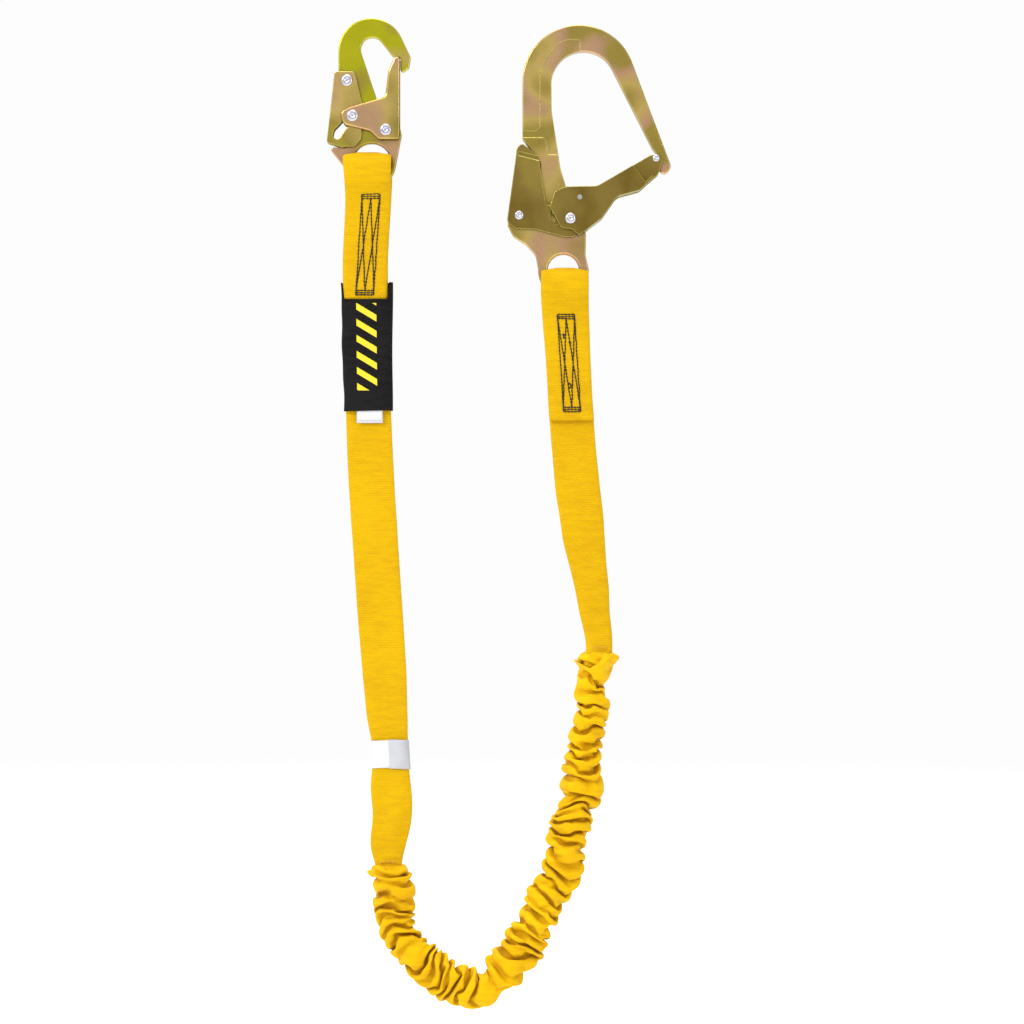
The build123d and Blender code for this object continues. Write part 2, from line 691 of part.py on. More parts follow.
# ---------------------------------------------------------------- label cover, pages and wrap label
COVER = [(-27.2, -198.0, 1.2), (17.4, -198.5, 1.2), (17.3, -307.0, 1.2), (-24.4, -307.5, 1.2)]
COVER_HALF = 6.8
COVER_WALL = 1.0
with BuildPart() as label_cover:
    extrude(outline(COVER), amount=COVER_HALF, both=True)
    seams = label_cover.edges().filter_by(
        lambda e: abs(abs(e.center().Y) - COVER_HALF) < 0.01 and e.length > 80
    )
    fillet(seams, 3.0)
    hollow = [(-26.2, -190.0, 0.3), (16.4, -190.0, 0.3), (16.3, -315.0, 0.3), (-23.2, -315.0, 0.3)]
    extrude(outline(hollow), amount=COVER_HALF - COVER_WALL, both=True, mode=Mode.SUBTRACT)
save(label_cover.part, "label_cover")

PAGE_THICK = 0.45
with BuildPart() as label_pages:
    for index in range(3):
        page = [
            (-14.0, -232.0, 0.5),
            (9.6, -232.0, 0.5),
            (9.0, -318.0 + index, 1.5),
            (-13.0, -318.0 + index, 1.5),
        ]
        extrude(outline(page, 3.7 + index * (PAGE_THICK + 0.1)), amount=PAGE_THICK)
save(label_pages.part, "label_pages")


def wrap(centre_x, low, high, half_x, half_y, wall):
    """Thin closed sleeve around the flat webbing."""
    plane = Plane(origin=(centre_x, 0, low))
    with BuildPart() as piece:
        with BuildSketch(plane):
            RectangleRounded(2 * half_x, 2 * half_y, 0.9 * half_y)
            RectangleRounded(
                2 * (half_x - wall),
                2 * (half_y - wall),
                0.9 * (half_y - wall),
                mode=Mode.SUBTRACT,
            )
        extrude(amount=high - low)
    return piece.part


save(wrap(15.5, -610.6, -587.2, 16.6, 3.0, 0.4), "serial_label")
save(wrap(15.5, -611.0, -586.8, 17.0, 3.35, 0.25), "label_film")

# ---------------------------------------------------------------- gathered length
GATHER_LEFT = [
    (14.0, -697.8, 0.0),
    (14.6, -745.0, 30.0),
    (60.0, -797.4, 40.0),
    (92.4, -797.4, 0.0),
]
GATHER_RIGHT = [
    (96.0, -797.4, 0.0),
    (106.6, -797.4, 18.0),
    (134.0, -748.0, 60.0),
    (163.0, -690.0, 60.0),
    (178.5, -605.0, 80.0),
    (190.6, -553.0, 60.0),
    (190.6, -519.8, 0.0),
]


def path_frame(corners):
    """Path through (x, z, corner radius) corners and the plane square to its start."""
    with BuildLine() as path:
        FilletPolyline([(x, 0, z) for x, z, r in corners], radius=[r for x, z, r in corners[1:-1]])
    return path.line, Plane(origin=path.line @ 0, x_dir=(0, 1, 0), z_dir=path.line % 0)


def gathered(corners, label):
    """Jacket, absorber core and elastic strands of one half of the gathered length."""
    line, start = path_frame(corners)
    with BuildPart() as jacket:
        with BuildSketch(start):
            Circle(GATHER_R)
            Circle(GATHER_R - GATHER_WALL, mode=Mode.SUBTRACT)
        sweep(path=line)
    save(jacket.part, f"gather_jacket_{label}")
    with BuildPart() as core:
        with BuildSketch(start):
            Ellipse(YARN_HALF_WIDTH, YARN_HALF_DEPTH)
        sweep(path=line)
    save(core.part, f"absorber_core_{label}")
    with BuildPart() as elastic:
        with BuildSketch(start):
            with Locations((0, STRAND_OFFSET), (0, -STRAND_OFFSET)):
                Rectangle(STRAND_WIDTH, STRAND_THICK)
        sweep(path=line)
    save(elastic.part, f"elastic_strands_{label}")


gathered(GATHER_LEFT, "snap_side")
gathered(GATHER_RIGHT, "rebar_side")

# ---------------------------------------------------------------- webbing at the rebar hook
REBAR_STATIONS = [
    (-184.0, 163.6, 40.0),
    (-213.0, 163.6, 39.5),
    (-264.0, 166.4, 37.5),
    (-315.0, 168.8, 37.5),
    (-356.0, 172.6, 37.5),
    (-396.0, 177.0, 37.5),
    (-417.0, 179.8, 36.0),
    (-437.0, 183.0, 31.5),
    (-458.0, 186.6, 29.0),
    (-478.0, 188.8, 26.0),
    (-498.0, 192.0, 24.0),
    (-519.0, 191.6, 24.0),
]
REBAR_LOOP_TOP = -186.0
REBAR_LUG_BOTTOM = -209.4
REBAR_JOIN = -223.0
REBAR_TAIL_END = -316.0
REBAR_LEVEL = -350.0
REBAR_STRIP_END = -519.0
REBAR_SIDE = 100.0
REBAR_CORE_WIDTH = 16.0
with BuildPart() as rebar_end_webbing:
    extrude(
        side_outline(
            hook_loop(
                REBAR_LOOP_TOP, REBAR_LUG_BOTTOM, REBAR_JOIN, REBAR_TAIL_END, REBAR_STRIP_END, REBAR_LEVEL
            ),
            REBAR_SIDE,
        ),
        amount=SIDE_SPAN,
    )
    extrude(strap_face(REBAR_STATIONS), amount=THROUGH, both=True, mode=Mode.INTERSECT)
    extrude(
        side_outline(
            loop_hollow(REBAR_LOOP_TOP - LOOP_WALL, REBAR_LUG_BOTTOM, REBAR_JOIN + 5.5), REBAR_SIDE
        ),
        amount=SIDE_SPAN,
        mode=Mode.SUBTRACT,
    )
    extrude(loop_neck(REBAR_EYE[0], 10.6, -215.0, -180.0), amount=LOOP_NECK, both=True, mode=Mode.SUBTRACT)
    extrude(
        strap_face(REBAR_STATIONS[4:], WEB_EDGE), amount=WEB_HALF - WEB_WALL, both=True, mode=Mode.SUBTRACT
    )
save(rebar_end_webbing.part, "rebar_end_webbing")
save(wear_pad(REBAR_EYE[0], REBAR_LOOP_TOP - LOOP_WALL, 10.2, -201.0), "rebar_wear_pad")

with BuildPart() as rebar_end_core:
    extrude(strap_face(REBAR_STATIONS[5:-1], width=REBAR_CORE_WIDTH), amount=CORE_HALF, both=True)
save(rebar_end_core.part, "rebar_end_core")

with BuildPart() as rebar_stitching:
    for side in (1, -1):
        extrude(
            box_stitch((164.2, -225.5), (169.6, -308.0), STITCH_HALF, side * (2 * WEB_HALF - 0.15)),
            amount=side * THREAD,
        )
save(rebar_stitching.part, "rebar_stitching")

# ---------------------------------------------------------------- tacks that hold the elastic's ends
TACK_HALF = 8.0
for label, centre in (("snap_side", (14.0, -692.5)), ("rebar_side", (191.8, -512.5))):
    with BuildPart() as tack:
        for side in (1, -1):
            with BuildSketch(Plane.XZ.offset(side * (WEB_HALF + 0.05))):
                with Locations(centre):
                    Rectangle(2 * TACK_HALF, 2.4)
            extrude(amount=side * THREAD)
    save(tack.part, f"elastic_tack_{label}")
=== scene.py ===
"""Looks of the shock absorbing lanyard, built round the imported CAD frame. Metres, Z up, front to -Y."""

import math

import bpy
import numpy as np
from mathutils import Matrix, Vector


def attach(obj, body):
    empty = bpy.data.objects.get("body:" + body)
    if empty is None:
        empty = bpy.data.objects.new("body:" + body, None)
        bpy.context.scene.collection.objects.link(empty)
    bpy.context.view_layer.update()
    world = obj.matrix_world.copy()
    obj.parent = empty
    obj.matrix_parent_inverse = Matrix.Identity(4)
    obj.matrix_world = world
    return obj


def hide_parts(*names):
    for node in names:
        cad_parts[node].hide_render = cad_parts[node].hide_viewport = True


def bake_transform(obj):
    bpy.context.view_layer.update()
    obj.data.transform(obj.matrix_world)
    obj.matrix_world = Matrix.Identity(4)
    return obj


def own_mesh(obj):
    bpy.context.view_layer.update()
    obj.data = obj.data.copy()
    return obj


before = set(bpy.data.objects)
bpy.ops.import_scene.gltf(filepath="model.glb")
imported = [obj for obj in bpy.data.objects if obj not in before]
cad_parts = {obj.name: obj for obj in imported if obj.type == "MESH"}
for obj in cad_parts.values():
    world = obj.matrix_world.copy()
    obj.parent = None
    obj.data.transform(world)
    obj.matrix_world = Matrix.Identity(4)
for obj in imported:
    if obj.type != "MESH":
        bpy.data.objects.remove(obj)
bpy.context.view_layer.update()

MM = 0.001
TAU = 2 * math.pi


# ---------------------------------------------------------------- node helpers
def new_material(name):
    mat = bpy.data.materials.new(name)
    mat.use_nodes = True
    tree = mat.node_tree
    return mat, tree, tree.nodes["Principled BSDF"]


def add(tree, kind, inputs=None, **fields):
    """Adds a shader node; inputs are values or sockets."""
    node = tree.nodes.new(kind)
    for key, value in fields.items():
        setattr(node, key, value)
    for key, value in (inputs or {}).items():
        put(tree, value, node.inputs[key])
    return node


def put(tree, value, socket):
    if isinstance(value, bpy.types.NodeSocket):
        tree.links.new(value, socket)
    else:
        socket.default_value = value


def maths(tree, operation, a, b=0.0, clamp=False):
    node = tree.nodes.new("ShaderNodeMath")
    node.operation = operation
    node.use_clamp = clamp
    put(tree, a, node.inputs[0])
    put(tree, b, node.inputs[1])
    return node.outputs[0]


def mixed(tree, factor, a, b, blend="MIX"):
    node = tree.nodes.new("ShaderNodeMix")
    node.data_type = "RGBA"
    node.blend_type = blend
    put(tree, factor, node.inputs[0])
    put(tree, a, node.inputs[6])
    put(tree, b, node.inputs[7])
    return node.outputs[2]


def ramp(tree, factor, stops):
    node = tree.nodes.new("ShaderNodeValToRGB")
    node.color_ramp.elements[0].position = stops[0][0]
    node.color_ramp.elements[0].color = stops[0][1]
    node.color_ramp.elements[1].position = stops[-1][0]
    node.color_ramp.elements[1].color = stops[-1][1]
    for position, colour in stops[1:-1]:
        node.color_ramp.elements.new(position).color = colour
    put(tree, factor, node.inputs[0])
    return node.outputs[0]


def noise(tree, vector, scale, detail=2.0, rough=0.5):
    inputs = {"Vector": vector, "Scale": scale, "Detail": detail, "Roughness": rough}
    return add(tree, "ShaderNodeTexNoise", inputs).outputs["Fac"]


def bump(tree, height, strength, distance, normal=None):
    node = add(tree, "ShaderNodeBump", {"Height": height, "Strength": strength, "Distance": distance})
    if normal:
        put(tree, normal, node.inputs["Normal"])
    return node.outputs["Normal"]


def grey(v):
    return (v, v, v, 1.0)


# ---------------------------------------------------------------- materials
def zinc(name, patches, roughness=0.3, shift=0.0):
    """Yellow zinc dichromate: soft patches of colour, rounded rims that catch light, painted highlights in
    lime and pale yellow along the rims with some light wear, and a painted contact shadow where parts meet.
    """
    mat, tree, shader = new_material(name)
    where = add(tree, "ShaderNodeTexCoord").outputs["Object"]
    offset = (shift, shift * 0.7, -shift)
    moved = add(tree, "ShaderNodeMapping", {"Vector": where, "Location": offset}).outputs[0]
    broad = noise(tree, moved, 17.0, 1.5, 0.5)
    count = len(patches)
    stops = [(0.34 + 0.32 * i / (count - 1), patches[i]) for i in range(count)]
    colour = ramp(tree, broad, stops)
    streak = noise(tree, moved, 90.0, 3.0, 0.55)
    colour = mixed(tree, maths(tree, "MULTIPLY", streak, 0.2), colour, (0.46, 0.35, 0.05, 1.0))
    rounded = add(tree, "ShaderNodeBevel", {"Radius": 0.0011}, samples=6).outputs[0]
    geometry = add(tree, "ShaderNodeNewGeometry").outputs["Normal"]
    dot = add(tree, "ShaderNodeVectorMath", {0: rounded, 1: geometry}, operation="DOT_PRODUCT")
    rim = maths(tree, "SUBTRACT", 1.0, dot.outputs["Value"])
    # painted highlight: a lime-tinted light line painted along every rounded rim, convex and concave alike
    lime_rim_highlight = ramp(tree, rim, [(0.0, grey(0.0)), (0.06, grey(0.3))])
    colour = mixed(tree, lime_rim_highlight, colour, (0.62, 0.66, 0.12, 1.0))
    # pale rim colour: partly light wear of the edges, partly a painted highlight along them
    rim_wear_and_highlight = ramp(tree, rim, [(0.12, grey(0.0)), (0.4, grey(0.4))])
    colour = mixed(tree, rim_wear_and_highlight, colour, (0.80, 0.74, 0.32, 1.0))
    near = add(tree, "ShaderNodeAmbientOcclusion", {"Distance": 0.004}, samples=6).outputs["AO"]
    shadow = ramp(tree, near, [(0.35, grey(0.85)), (0.75, grey(0.0))])
    colour = mixed(tree, shadow, colour, (0.045, 0.03, 0.008, 1.0))
    put(tree, colour, shader.inputs["Base Color"])
    shader.inputs["Metallic"].default_value = 0.94
    rough = maths(tree, "ADD", maths(tree, "MULTIPLY", streak, 0.16), roughness - 0.08)
    put(tree, rough, shader.inputs["Roughness"])
    forged = bump(tree, noise(tree, where, 30.0, 1.0), 0.34, 0.0024, rounded)
    grain = noise(tree, where, 1100.0, 2.0)
    put(tree, bump(tree, grain, 0.05, 0.0001, forged), shader.inputs["Normal"])
    return mat


def plated(name, colour, roughness):
    """Bright plated steel with faint scratches and a slight violet tint."""
    mat, tree, shader = new_material(name)
    where = add(tree, "ShaderNodeTexCoord").outputs["Object"]
    tint = noise(tree, where, 120.0, 1.0)
    violet = ramp(tree, tint, [(0.4, grey(0.0)), (0.7, grey(0.6))])
    put(tree, mixed(tree, violet, colour, (0.50, 0.45, 0.64, 1.0)), shader.inputs["Base Color"])
    shader.inputs["Metallic"].default_value = 1.0
    fine = noise(tree, where, 2200.0, 3.0)
    rough = maths(tree, "ADD", maths(tree, "MULTIPLY", fine, 0.16), roughness - 0.06)
    put(tree, rough, shader.inputs["Roughness"])
    rounded = add(tree, "ShaderNodeBevel", {"Radius": 0.0004}, samples=4).outputs[0]
    put(tree, bump(tree, fine, 0.05, 0.00008, rounded), shader.inputs["Normal"])
    return mat


def woven(name, light, dark, rib=1.5, relief=0.5, groove_shade=0.12, fold_shade=None):
    """Woven webbing, ribs across, with painted shade in the grooves between ribs. UV is in metres: u across,
    v along. The fold colour is painted shade in deep folds.
    """
    mat, tree, shader = new_material(name)
    uv = add(tree, "ShaderNodeTexCoord").outputs["UV"]
    where = add(tree, "ShaderNodeTexCoord").outputs["Object"]
    parts = add(tree, "ShaderNodeSeparateXYZ", {0: uv})
    u, v = parts.outputs[0], parts.outputs[1]
    wobble = maths(tree, "MULTIPLY", maths(tree, "SUBTRACT", noise(tree, where, 240.0, 2.0), 0.5), 1.6)
    ribs = maths(tree, "SINE", maths(tree, "ADD", maths(tree, "MULTIPLY", v, TAU / (rib * MM)), wobble))
    yarns = maths(tree, "SINE", maths(tree, "MULTIPLY", u, TAU / (0.9 * MM)))
    weave = maths(tree, "ADD", maths(tree, "MULTIPLY", ribs, 0.5), maths(tree, "MULTIPLY", yarns, 0.3))
    stretched = add(tree, "ShaderNodeMapping", {"Vector": where, "Scale": (1.0, 1.0, 5.0)}).outputs[0]
    cross = noise(tree, stretched, 60.0, 3.0, 0.6)
    broad = noise(tree, where, 14.0, 2.0)
    tone = maths(tree, "ADD", maths(tree, "MULTIPLY", cross, 0.55), maths(tree, "MULTIPLY", broad, 0.45))
    colour = ramp(tree, tone, [(0.36, dark), (0.56, light)])
    # painted shade: the colour darkens in the grooves between the ribs
    raised = maths(tree, "ADD", maths(tree, "MULTIPLY", weave, 0.5), 0.5)
    shade = ramp(tree, raised, [(0.0, grey(1.0 - groove_shade)), (0.6, grey(1.0))])
    colour = mixed(tree, 1.0, colour, shade, "MULTIPLY")
    if fold_shade:
        # painted shade: the colour turns to the darker fold colour where folds hide the surface from light
        open_to_light = add(tree, "ShaderNodeAmbientOcclusion", {"Distance": 0.008}, samples=6).outputs["AO"]
        painted_fold_shade = ramp(tree, open_to_light, [(0.25, grey(1.0)), (0.85, grey(0.0))])
        colour = mixed(tree, painted_fold_shade, colour, fold_shade)
    put(tree, colour, shader.inputs["Base Color"])
    put(tree, maths(tree, "ADD", maths(tree, "MULTIPLY", cross, 0.2), 0.62), shader.inputs["Roughness"])
    shader.inputs["Sheen Weight"].default_value = 0.03
    shader.inputs["Sheen Roughness"].default_value = 0.5
    shader.inputs["Specular IOR Level"].default_value = 0.08
    creased = bump(tree, cross, 0.35 * relief, 0.0012)
    put(tree, bump(tree, weave, relief, 0.00022, creased), shader.inputs["Normal"])
    return mat


def plain(name, colour, roughness=0.6, grain=900.0, relief=0.15, variation=0.12):
    """Even finish with a fine grain and slight change of tone."""
    mat, tree, shader = new_material(name)
    where = add(tree, "ShaderNodeTexCoord").outputs["Object"]
    fine = noise(tree, where, grain, 3.0)
    broad = noise(tree, where, 35.0, 2.0)
    darker = tuple(c * (1 - variation) for c in colour[:3]) + (1.0,)
    put(tree, ramp(tree, broad, [(0.35, darker), (0.65, colour)]), shader.inputs["Base Color"])
    rough = maths(tree, "ADD", maths(tree, "MULTIPLY", fine, 0.2), roughness - 0.1)
    put(tree, rough, shader.inputs["Roughness"])
    put(tree, bump(tree, fine, relief, 0.0002), shader.inputs["Normal"])
    return mat


OLIVE = (0.38, 0.28, 0.060, 1.0)
LIME = (0.50, 0.49, 0.012, 1.0)
SALMON = (0.59, 0.34, 0.21, 1.0)
GOLD = (0.62, 0.45, 0.14, 1.0)
BROWN = (0.22, 0.14, 0.025, 1.0)
DEEP = (0.30, 0.205, 0.05, 1.0)
ZINC_BODY = zinc("zinc_body", [OLIVE, GOLD, SALMON, OLIVE, OLIVE], 0.27)
ZINC_LIME = zinc("zinc_lime", [GOLD, LIME, LIME, OLIVE, SALMON], 0.25, 0.31)
ZINC_GATE = zinc("zinc_gate", [DEEP, BROWN, DEEP, OLIVE], 0.22, 0.77)
ZINC_WARM = zinc("zinc_warm", [GOLD, SALMON, GOLD, OLIVE], 0.25, 0.52)
ZINC_LEVER = zinc("zinc_lever", [LIME, OLIVE, GOLD, SALMON], 0.27, 0.9)
RIVET = plated("bright_rivet", (0.60, 0.59, 0.62, 1.0), 0.2)
SPRING = plated("spring_wire", (0.45, 0.45, 0.47, 1.0), 0.35)
YELLOW = woven("webbing", (0.70, 0.415, 0.001, 1.0), (0.62, 0.345, 0.001, 1.0), relief=0.7, groove_shade=0.2)
GATHERED = woven(
    "webbing_gathered",
    (0.80, 0.475, 0.001, 1.0),
    (0.71, 0.395, 0.001, 1.0),
    relief=0.35,
    fold_shade=(0.42, 0.20, 0.001, 1.0),
)
PAD = woven("pad_weave", (0.86, 0.50, 0.01, 1.0), (0.66, 0.36, 0.01, 1.0), rib=1.1)
YARN = woven("core_yarn", (0.82, 0.79, 0.70, 1.0), (0.66, 0.62, 0.52, 1.0), rib=0.7)
ELASTIC = woven("elastic_braid", (0.80, 0.45, 0.30, 1.0), (0.62, 0.32, 0.20, 1.0), rib=0.9)
CORD = plain("black_cord", (0.008, 0.006, 0.005, 1.0), 0.65, 2600.0, 0.4)
TACK = plain("yellow_cord", (0.74, 0.43, 0.002, 1.0), 0.6, 2600.0, 0.4)
PAGE = plain("label_stock", (0.66, 0.67, 0.69, 1.0), 0.5, 1400.0, 0.08, 0.05)
FILM = plain("clear_film", (0.50, 0.51, 0.54, 1.0), 0.2, 160.0, 0.5, 0.3)

# ---------------------------------------------------------------- CAD metal nodes keep their shape
METAL = {
    "snap_hook_body": ZINC_LIME,
    "snap_gate": ZINC_WARM,
    "snap_lock_lever": ZINC_LEVER,
    "rebar_hook_body": ZINC_BODY,
    "rebar_gate": ZINC_GATE,
    "rebar_lock_lever": ZINC_GATE,
}
for name in ("snap_gate_rivet", "snap_lever_rivet", "snap_lock_pin", "rebar_gate_rivet", "rebar_lever_rivet"):
    METAL[name] = RIVET
for name in ("rebar_nose_pin", "rebar_spring_studs", "snap_gate_washer", "rebar_gate_washer"):
    METAL[name] = RIVET
for name in ("snap_gate_spring", "rebar_gate_spring"):
    METAL[name] = SPRING
for name, material in METAL.items():
    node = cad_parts[name]
    node.data.materials.clear()
    node.data.materials.append(material)


# ---------------------------------------------------------------- geometry helpers
def wave_noise(seed, *coords, base=1.0, octaves=4):
    """Smooth repeatable noise, about -1 to 1, as a sum of skewed sines over the given coordinates."""
    rng = np.random.default_rng(seed)
    total = np.zeros_like(coords[0], dtype=float)
    weight = 0.0
    for octave in range(octaves):
        for _ in range(3):
            phase = rng.uniform(0, TAU)
            angle = np.zeros_like(total)
            for c in coords:
                angle = angle + c * rng.normal(0, 1) * base * (1.8**octave)
            total += np.sin(angle + phase) / (1.6**octave)
            weight += 0.5 / (1.6**octave)
    return total / weight


def smooth_path(points, rounds, step):
    """Corner-cut polyline, resampled at an even step."""
    p = np.array(points, float)
    for _ in range(rounds):
        near = 0.75 * p[:-1] + 0.25 * p[1:]
        far = 0.25 * p[:-1] + 0.75 * p[1:]
        corners = np.stack([near, far], 1).reshape(-1, p.shape[1])
        p = np.vstack([p[:1], corners, p[-1:]])
    seg = np.linalg.norm(np.diff(p, axis=0), axis=1)
    s = np.concatenate([[0], np.cumsum(seg)])
    n = max(2, int(round(s[-1] / step)) + 1)
    t = np.linspace(0, s[-1], n)
    return np.stack([np.interp(t, s, p[:, k]) for k in range(p.shape[1])], -1), t


def make_mesh(name, verts, faces, uv, material, body=None):
    """Mesh object from arrays; uv is one pair per vertex, in metres."""
    mesh = bpy.data.meshes.new(name)
    mesh.from_pydata(np.asarray(verts).tolist(), [], faces)
    layer = mesh.uv_layers.new(name="UVMap")
    loops = np.empty(len(mesh.loops), int)
    mesh.loops.foreach_get("vertex_index", loops)
    layer.data.foreach_set("uv", np.asarray(uv)[loops].astype(np.float32).ravel())
    mesh.polygons.foreach_set("use_smooth", [True] * len(mesh.polygons))
    mesh.materials.append(material)
    obj = bpy.data.objects.new(name, mesh)
    bpy.context.scene.collection.objects.link(obj)
    if body:
        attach(obj, body)
    return obj


def tube(name, rings, around, along, material, body=None, caps=True):
    """Closed tube from an array of rings (rows, points, 3)."""
    rows, count, _ = rings.shape
    verts = rings.reshape(-1, 3)
    faces = []
    for i in range(rows - 1):
        for j in range(count):
            k = (j + 1) % count
            faces.append((i * count + j, (i + 1) * count + j, (i + 1) * count + k, i * count + k))
    if caps:
        faces.append(tuple(range(count)))
        faces.append(tuple((rows - 1) * count + j for j in reversed(range(count))))
    u = np.broadcast_to(around, (rows, count))
    v = np.broadcast_to(along[:, None], (rows, count))
    return make_mesh(name, verts, faces, np.stack([u, v], -1).reshape(-1, 2), material, body)


def flat_section(count):
    """Unit outline of flat tubular webbing: (across, through) pairs with rounded edges."""
    side = count // 2
    t = np.linspace(-1, 1, side + 1)[:-1] + 1.0 / side
    across = np.sin(t * math.pi / 2)
    through = (1 - np.abs(across) ** 7) ** 0.5
    front = np.stack([across, -through], -1)
    back = np.stack([across[::-1], through[::-1]], -1)
    return np.vstack([front, back])


def strap(name, path, centre, half_width, thick, material, body, relief, step=1.6, count=52):
    """Flat webbing along a (y, z) path in mm. centre to relief are functions of the path's points."""
    line, s = smooth_path(path, 4, step)
    tangent = np.gradient(line, axis=0)
    tangent /= np.linalg.norm(tangent, axis=1)[:, None]
    normal = np.stack([tangent[:, 1], -tangent[:, 0]], -1)
    section = flat_section(count)
    xc = centre(line, s)
    hw = half_width(line, s)
    th = thick(line, s)
    across = section[None, :, 0] * hw[:, None]
    through = section[None, :, 1] * th[:, None]
    across, through = relief(line, s, across, through)
    x = xc[:, None] + across
    y = line[:, 0][:, None] - through * normal[:, 0][:, None]
    z = line[:, 1][:, None] - through * normal[:, 1][:, None]
    rings = np.stack([x, y, z], -1) * MM
    girth = np.cumsum(np.concatenate([[0], np.linalg.norm(np.diff(section * [19.0, 2.0], axis=0), axis=1)]))
    return tube(name, rings, girth * MM, s * MM, material, body)


def station_curve(stations):
    """Interpolator (z down) for centre x and half width from (z, x, width) stations."""
    data = np.array(stations, float)[::-1]
    fine = np.linspace(data[0, 0], data[-1, 0], 400)
    kernel = np.hanning(25)
    kernel /= kernel.sum()

    def smooth(column):
        raw = np.interp(fine, data[:, 0], column)
        padded = np.pad(raw, 12, mode="edge")
        return np.convolve(padded, kernel, mode="valid")

    xs, ws = smooth(data[:, 1]), smooth(data[:, 2])
    return (lambda z: np.interp(z, fine, xs)), (lambda z: np.interp(z, fine, ws) / 2)


# ---------------------------------------------------------------- webbing helpers
LOOP_R = 11.7  # radius of a hook loop's crown along the middle of its webbing
LEG_Y = 2.25  # depth of each leg below the loop, where the two are sewn together


def loop_path(crown, join, tail_end, main):
    """(y, z) line of a webbing end from the tail up the front leg, over the crown and down the main strip."""
    top = crown - 11.6
    front = [
        (-LEG_Y, tail_end),
        (-LEG_Y, join - 8),
        (-2.6, join - 2),
        (-6.6, join + 7.5),
        (-10.6, join + 12),
        (-LOOP_R, join + 18),
    ]
    turns = np.linspace(0.15, math.pi - 0.15, 13)
    arch = [(-LOOP_R * math.cos(a), top + LOOP_R * math.sin(a) - 1.2 * math.sin(a) ** 8) for a in turns]
    back = [(-y, z) for y, z in reversed(front)]
    return front + arch + back[:-1] + main


def in_eye(line, crown):
    """1 where the webbing is inside the hook's eye, 0 where it is free."""
    inside = np.clip((7.0 - np.abs(line[:, 0])) / 1.6, 0, 1) * (line[:, 1] > crown - 20)
    return inside * inside * (3 - 2 * inside)


def label_band(z):
    """1 under the wrap label, which holds the webbing flat."""
    return np.exp(-(((z + 599) / 19.0) ** 4))


def strap_relief(seed, zone, sewn_to):
    """Soft handling marks: cross wrinkles, slow waves and uneven edges. zone(z) is how slack it is."""

    def relief(line, s, across, through):
        u = across / 19.0
        length = (s[-1] - s)[:, None] * np.ones_like(across)
        fine = wave_noise(seed, length / 7.0, u * 0.7)
        slow = wave_noise(seed + 1, length / 42.0, u * 1.2, octaves=3)
        edge = wave_noise(seed + 2, length / 16.0, octaves=3)
        slack = zone(line[:, 1])[:, None]
        sewn = np.clip((line[:, 1] - sewn_to) / 12.0 + 1, 0, 1)[:, None]
        banded = label_band(line[:, 1])[:, None]
        shift = (0.14 * fine + 0.3 * slow) * (1 - 0.7 * sewn) + slack * (1.5 * slow + 0.6 * fine)
        shift = shift * (1 - 0.9 * banded)
        return across * (1 + 0.007 * edge), through + shift

    return relief


# ---------------------------------------------------------------- lever springs
def lever_spring(side, start, radius, wire, pitch, length):
    """Compression spring along X from the lever's web to its seat in the body, pressed by the lever."""
    x, z = start
    turn = np.linspace(0, TAU * length / pitch, int(length / pitch * 30))[:, None]
    around = np.linspace(0, TAU, 10, endpoint=False)
    out = radius + wire * np.cos(around)
    along = x + turn * pitch / TAU + wire * np.sin(around)
    rings = np.stack([along, out * np.cos(turn), z + out * np.sin(turn)], -1) * MM
    u, v = around * wire * MM, turn[:, 0] * radius * MM
    piece = tube(f"{side}_lever_coil", rings, u, v, SPRING, f"{side}_hook")
    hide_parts(f"{side}_lever_spring")
    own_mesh(piece)


lever_spring("snap", (-31.2, -42.0), 2.2, 0.4, 1.7, 10.2)
lever_spring("rebar", (122.3, -112.0), 3.0, 0.5, 2.6, 24.5)


# ---------------------------------------------------------------- webbing ends
# stations are (z, centre x, width); main strips are (y, z)
SNAP_STATIONS = [
    (-80.0, -4.2, 41.0), (-96.0, -4.2, 41.5), (-110.0, -3.6, 39.5), (-128.0, -3.4, 39.0),
    (-179.0, -6.2, 38.2), (-213.0, -6.0, 38.0), (-307.0, -3.4, 38.2), (-345.0, -2.0, 39.4),
    (-376.0, -0.4, 38.8), (-427.0, 3.0, 38.6), (-478.0, 6.4, 38.6), (-529.0, 10.2, 37.4),
    (-570.0, 12.6, 34.6), (-588.0, 14.8, 30.4), (-600.0, 15.5, 29.6), (-611.0, 15.6, 30.6),
    (-624.0, 15.2, 35.0), (-638.0, 16.6, 35.0), (-651.0, 17.4, 33.0), (-666.0, 15.0, 33.0),
    (-680.0, 12.2, 30.0), (-690.0, 13.4, 23.0), (-702.0, 14.6, 19.0),
]
snap_x, snap_w = station_curve(SNAP_STATIONS)
SNAP_MAIN = [
    (1.7, -232.0), (0.5, -280.0), (0.0, -310.0), (0.0, -400.0), (0.0, -500.0),
    (0.4, -580.0), (0.0, -640.0), (0.0, -703.0),
]
REBAR_STATIONS = [
    (-180.0, 163.2, 40.0), (-213.0, 163.4, 40.5), (-264.0, 166.4, 38.0), (-300.0, 168.2, 37.8),
    (-335.0, 170.8, 37.6), (-376.0, 174.7, 38.0), (-396.0, 177.6, 37.4), (-417.0, 179.6, 36.0),
    (-437.0, 182.8, 32.0), (-458.0, 186.6, 29.0), (-478.0, 188.6, 26.0), (-498.0, 192.2, 23.5),
    (-510.0, 193.0, 22.0), (-522.0, 191.0, 24.0),
]
rebar_x, rebar_w = station_curve(REBAR_STATIONS)
REBAR_MAIN = [(1.7, -330.0), (0.4, -352.0), (0.0, -380.0), (0.0, -430.0), (0.0, -470.0), (0.0, -525.0)]


def snap_slack(z):
    return np.clip((-545 - z) / 90.0, 0, 1)


def rebar_slack(z):
    return np.clip((-390 - z) / 90.0, 0, 1)


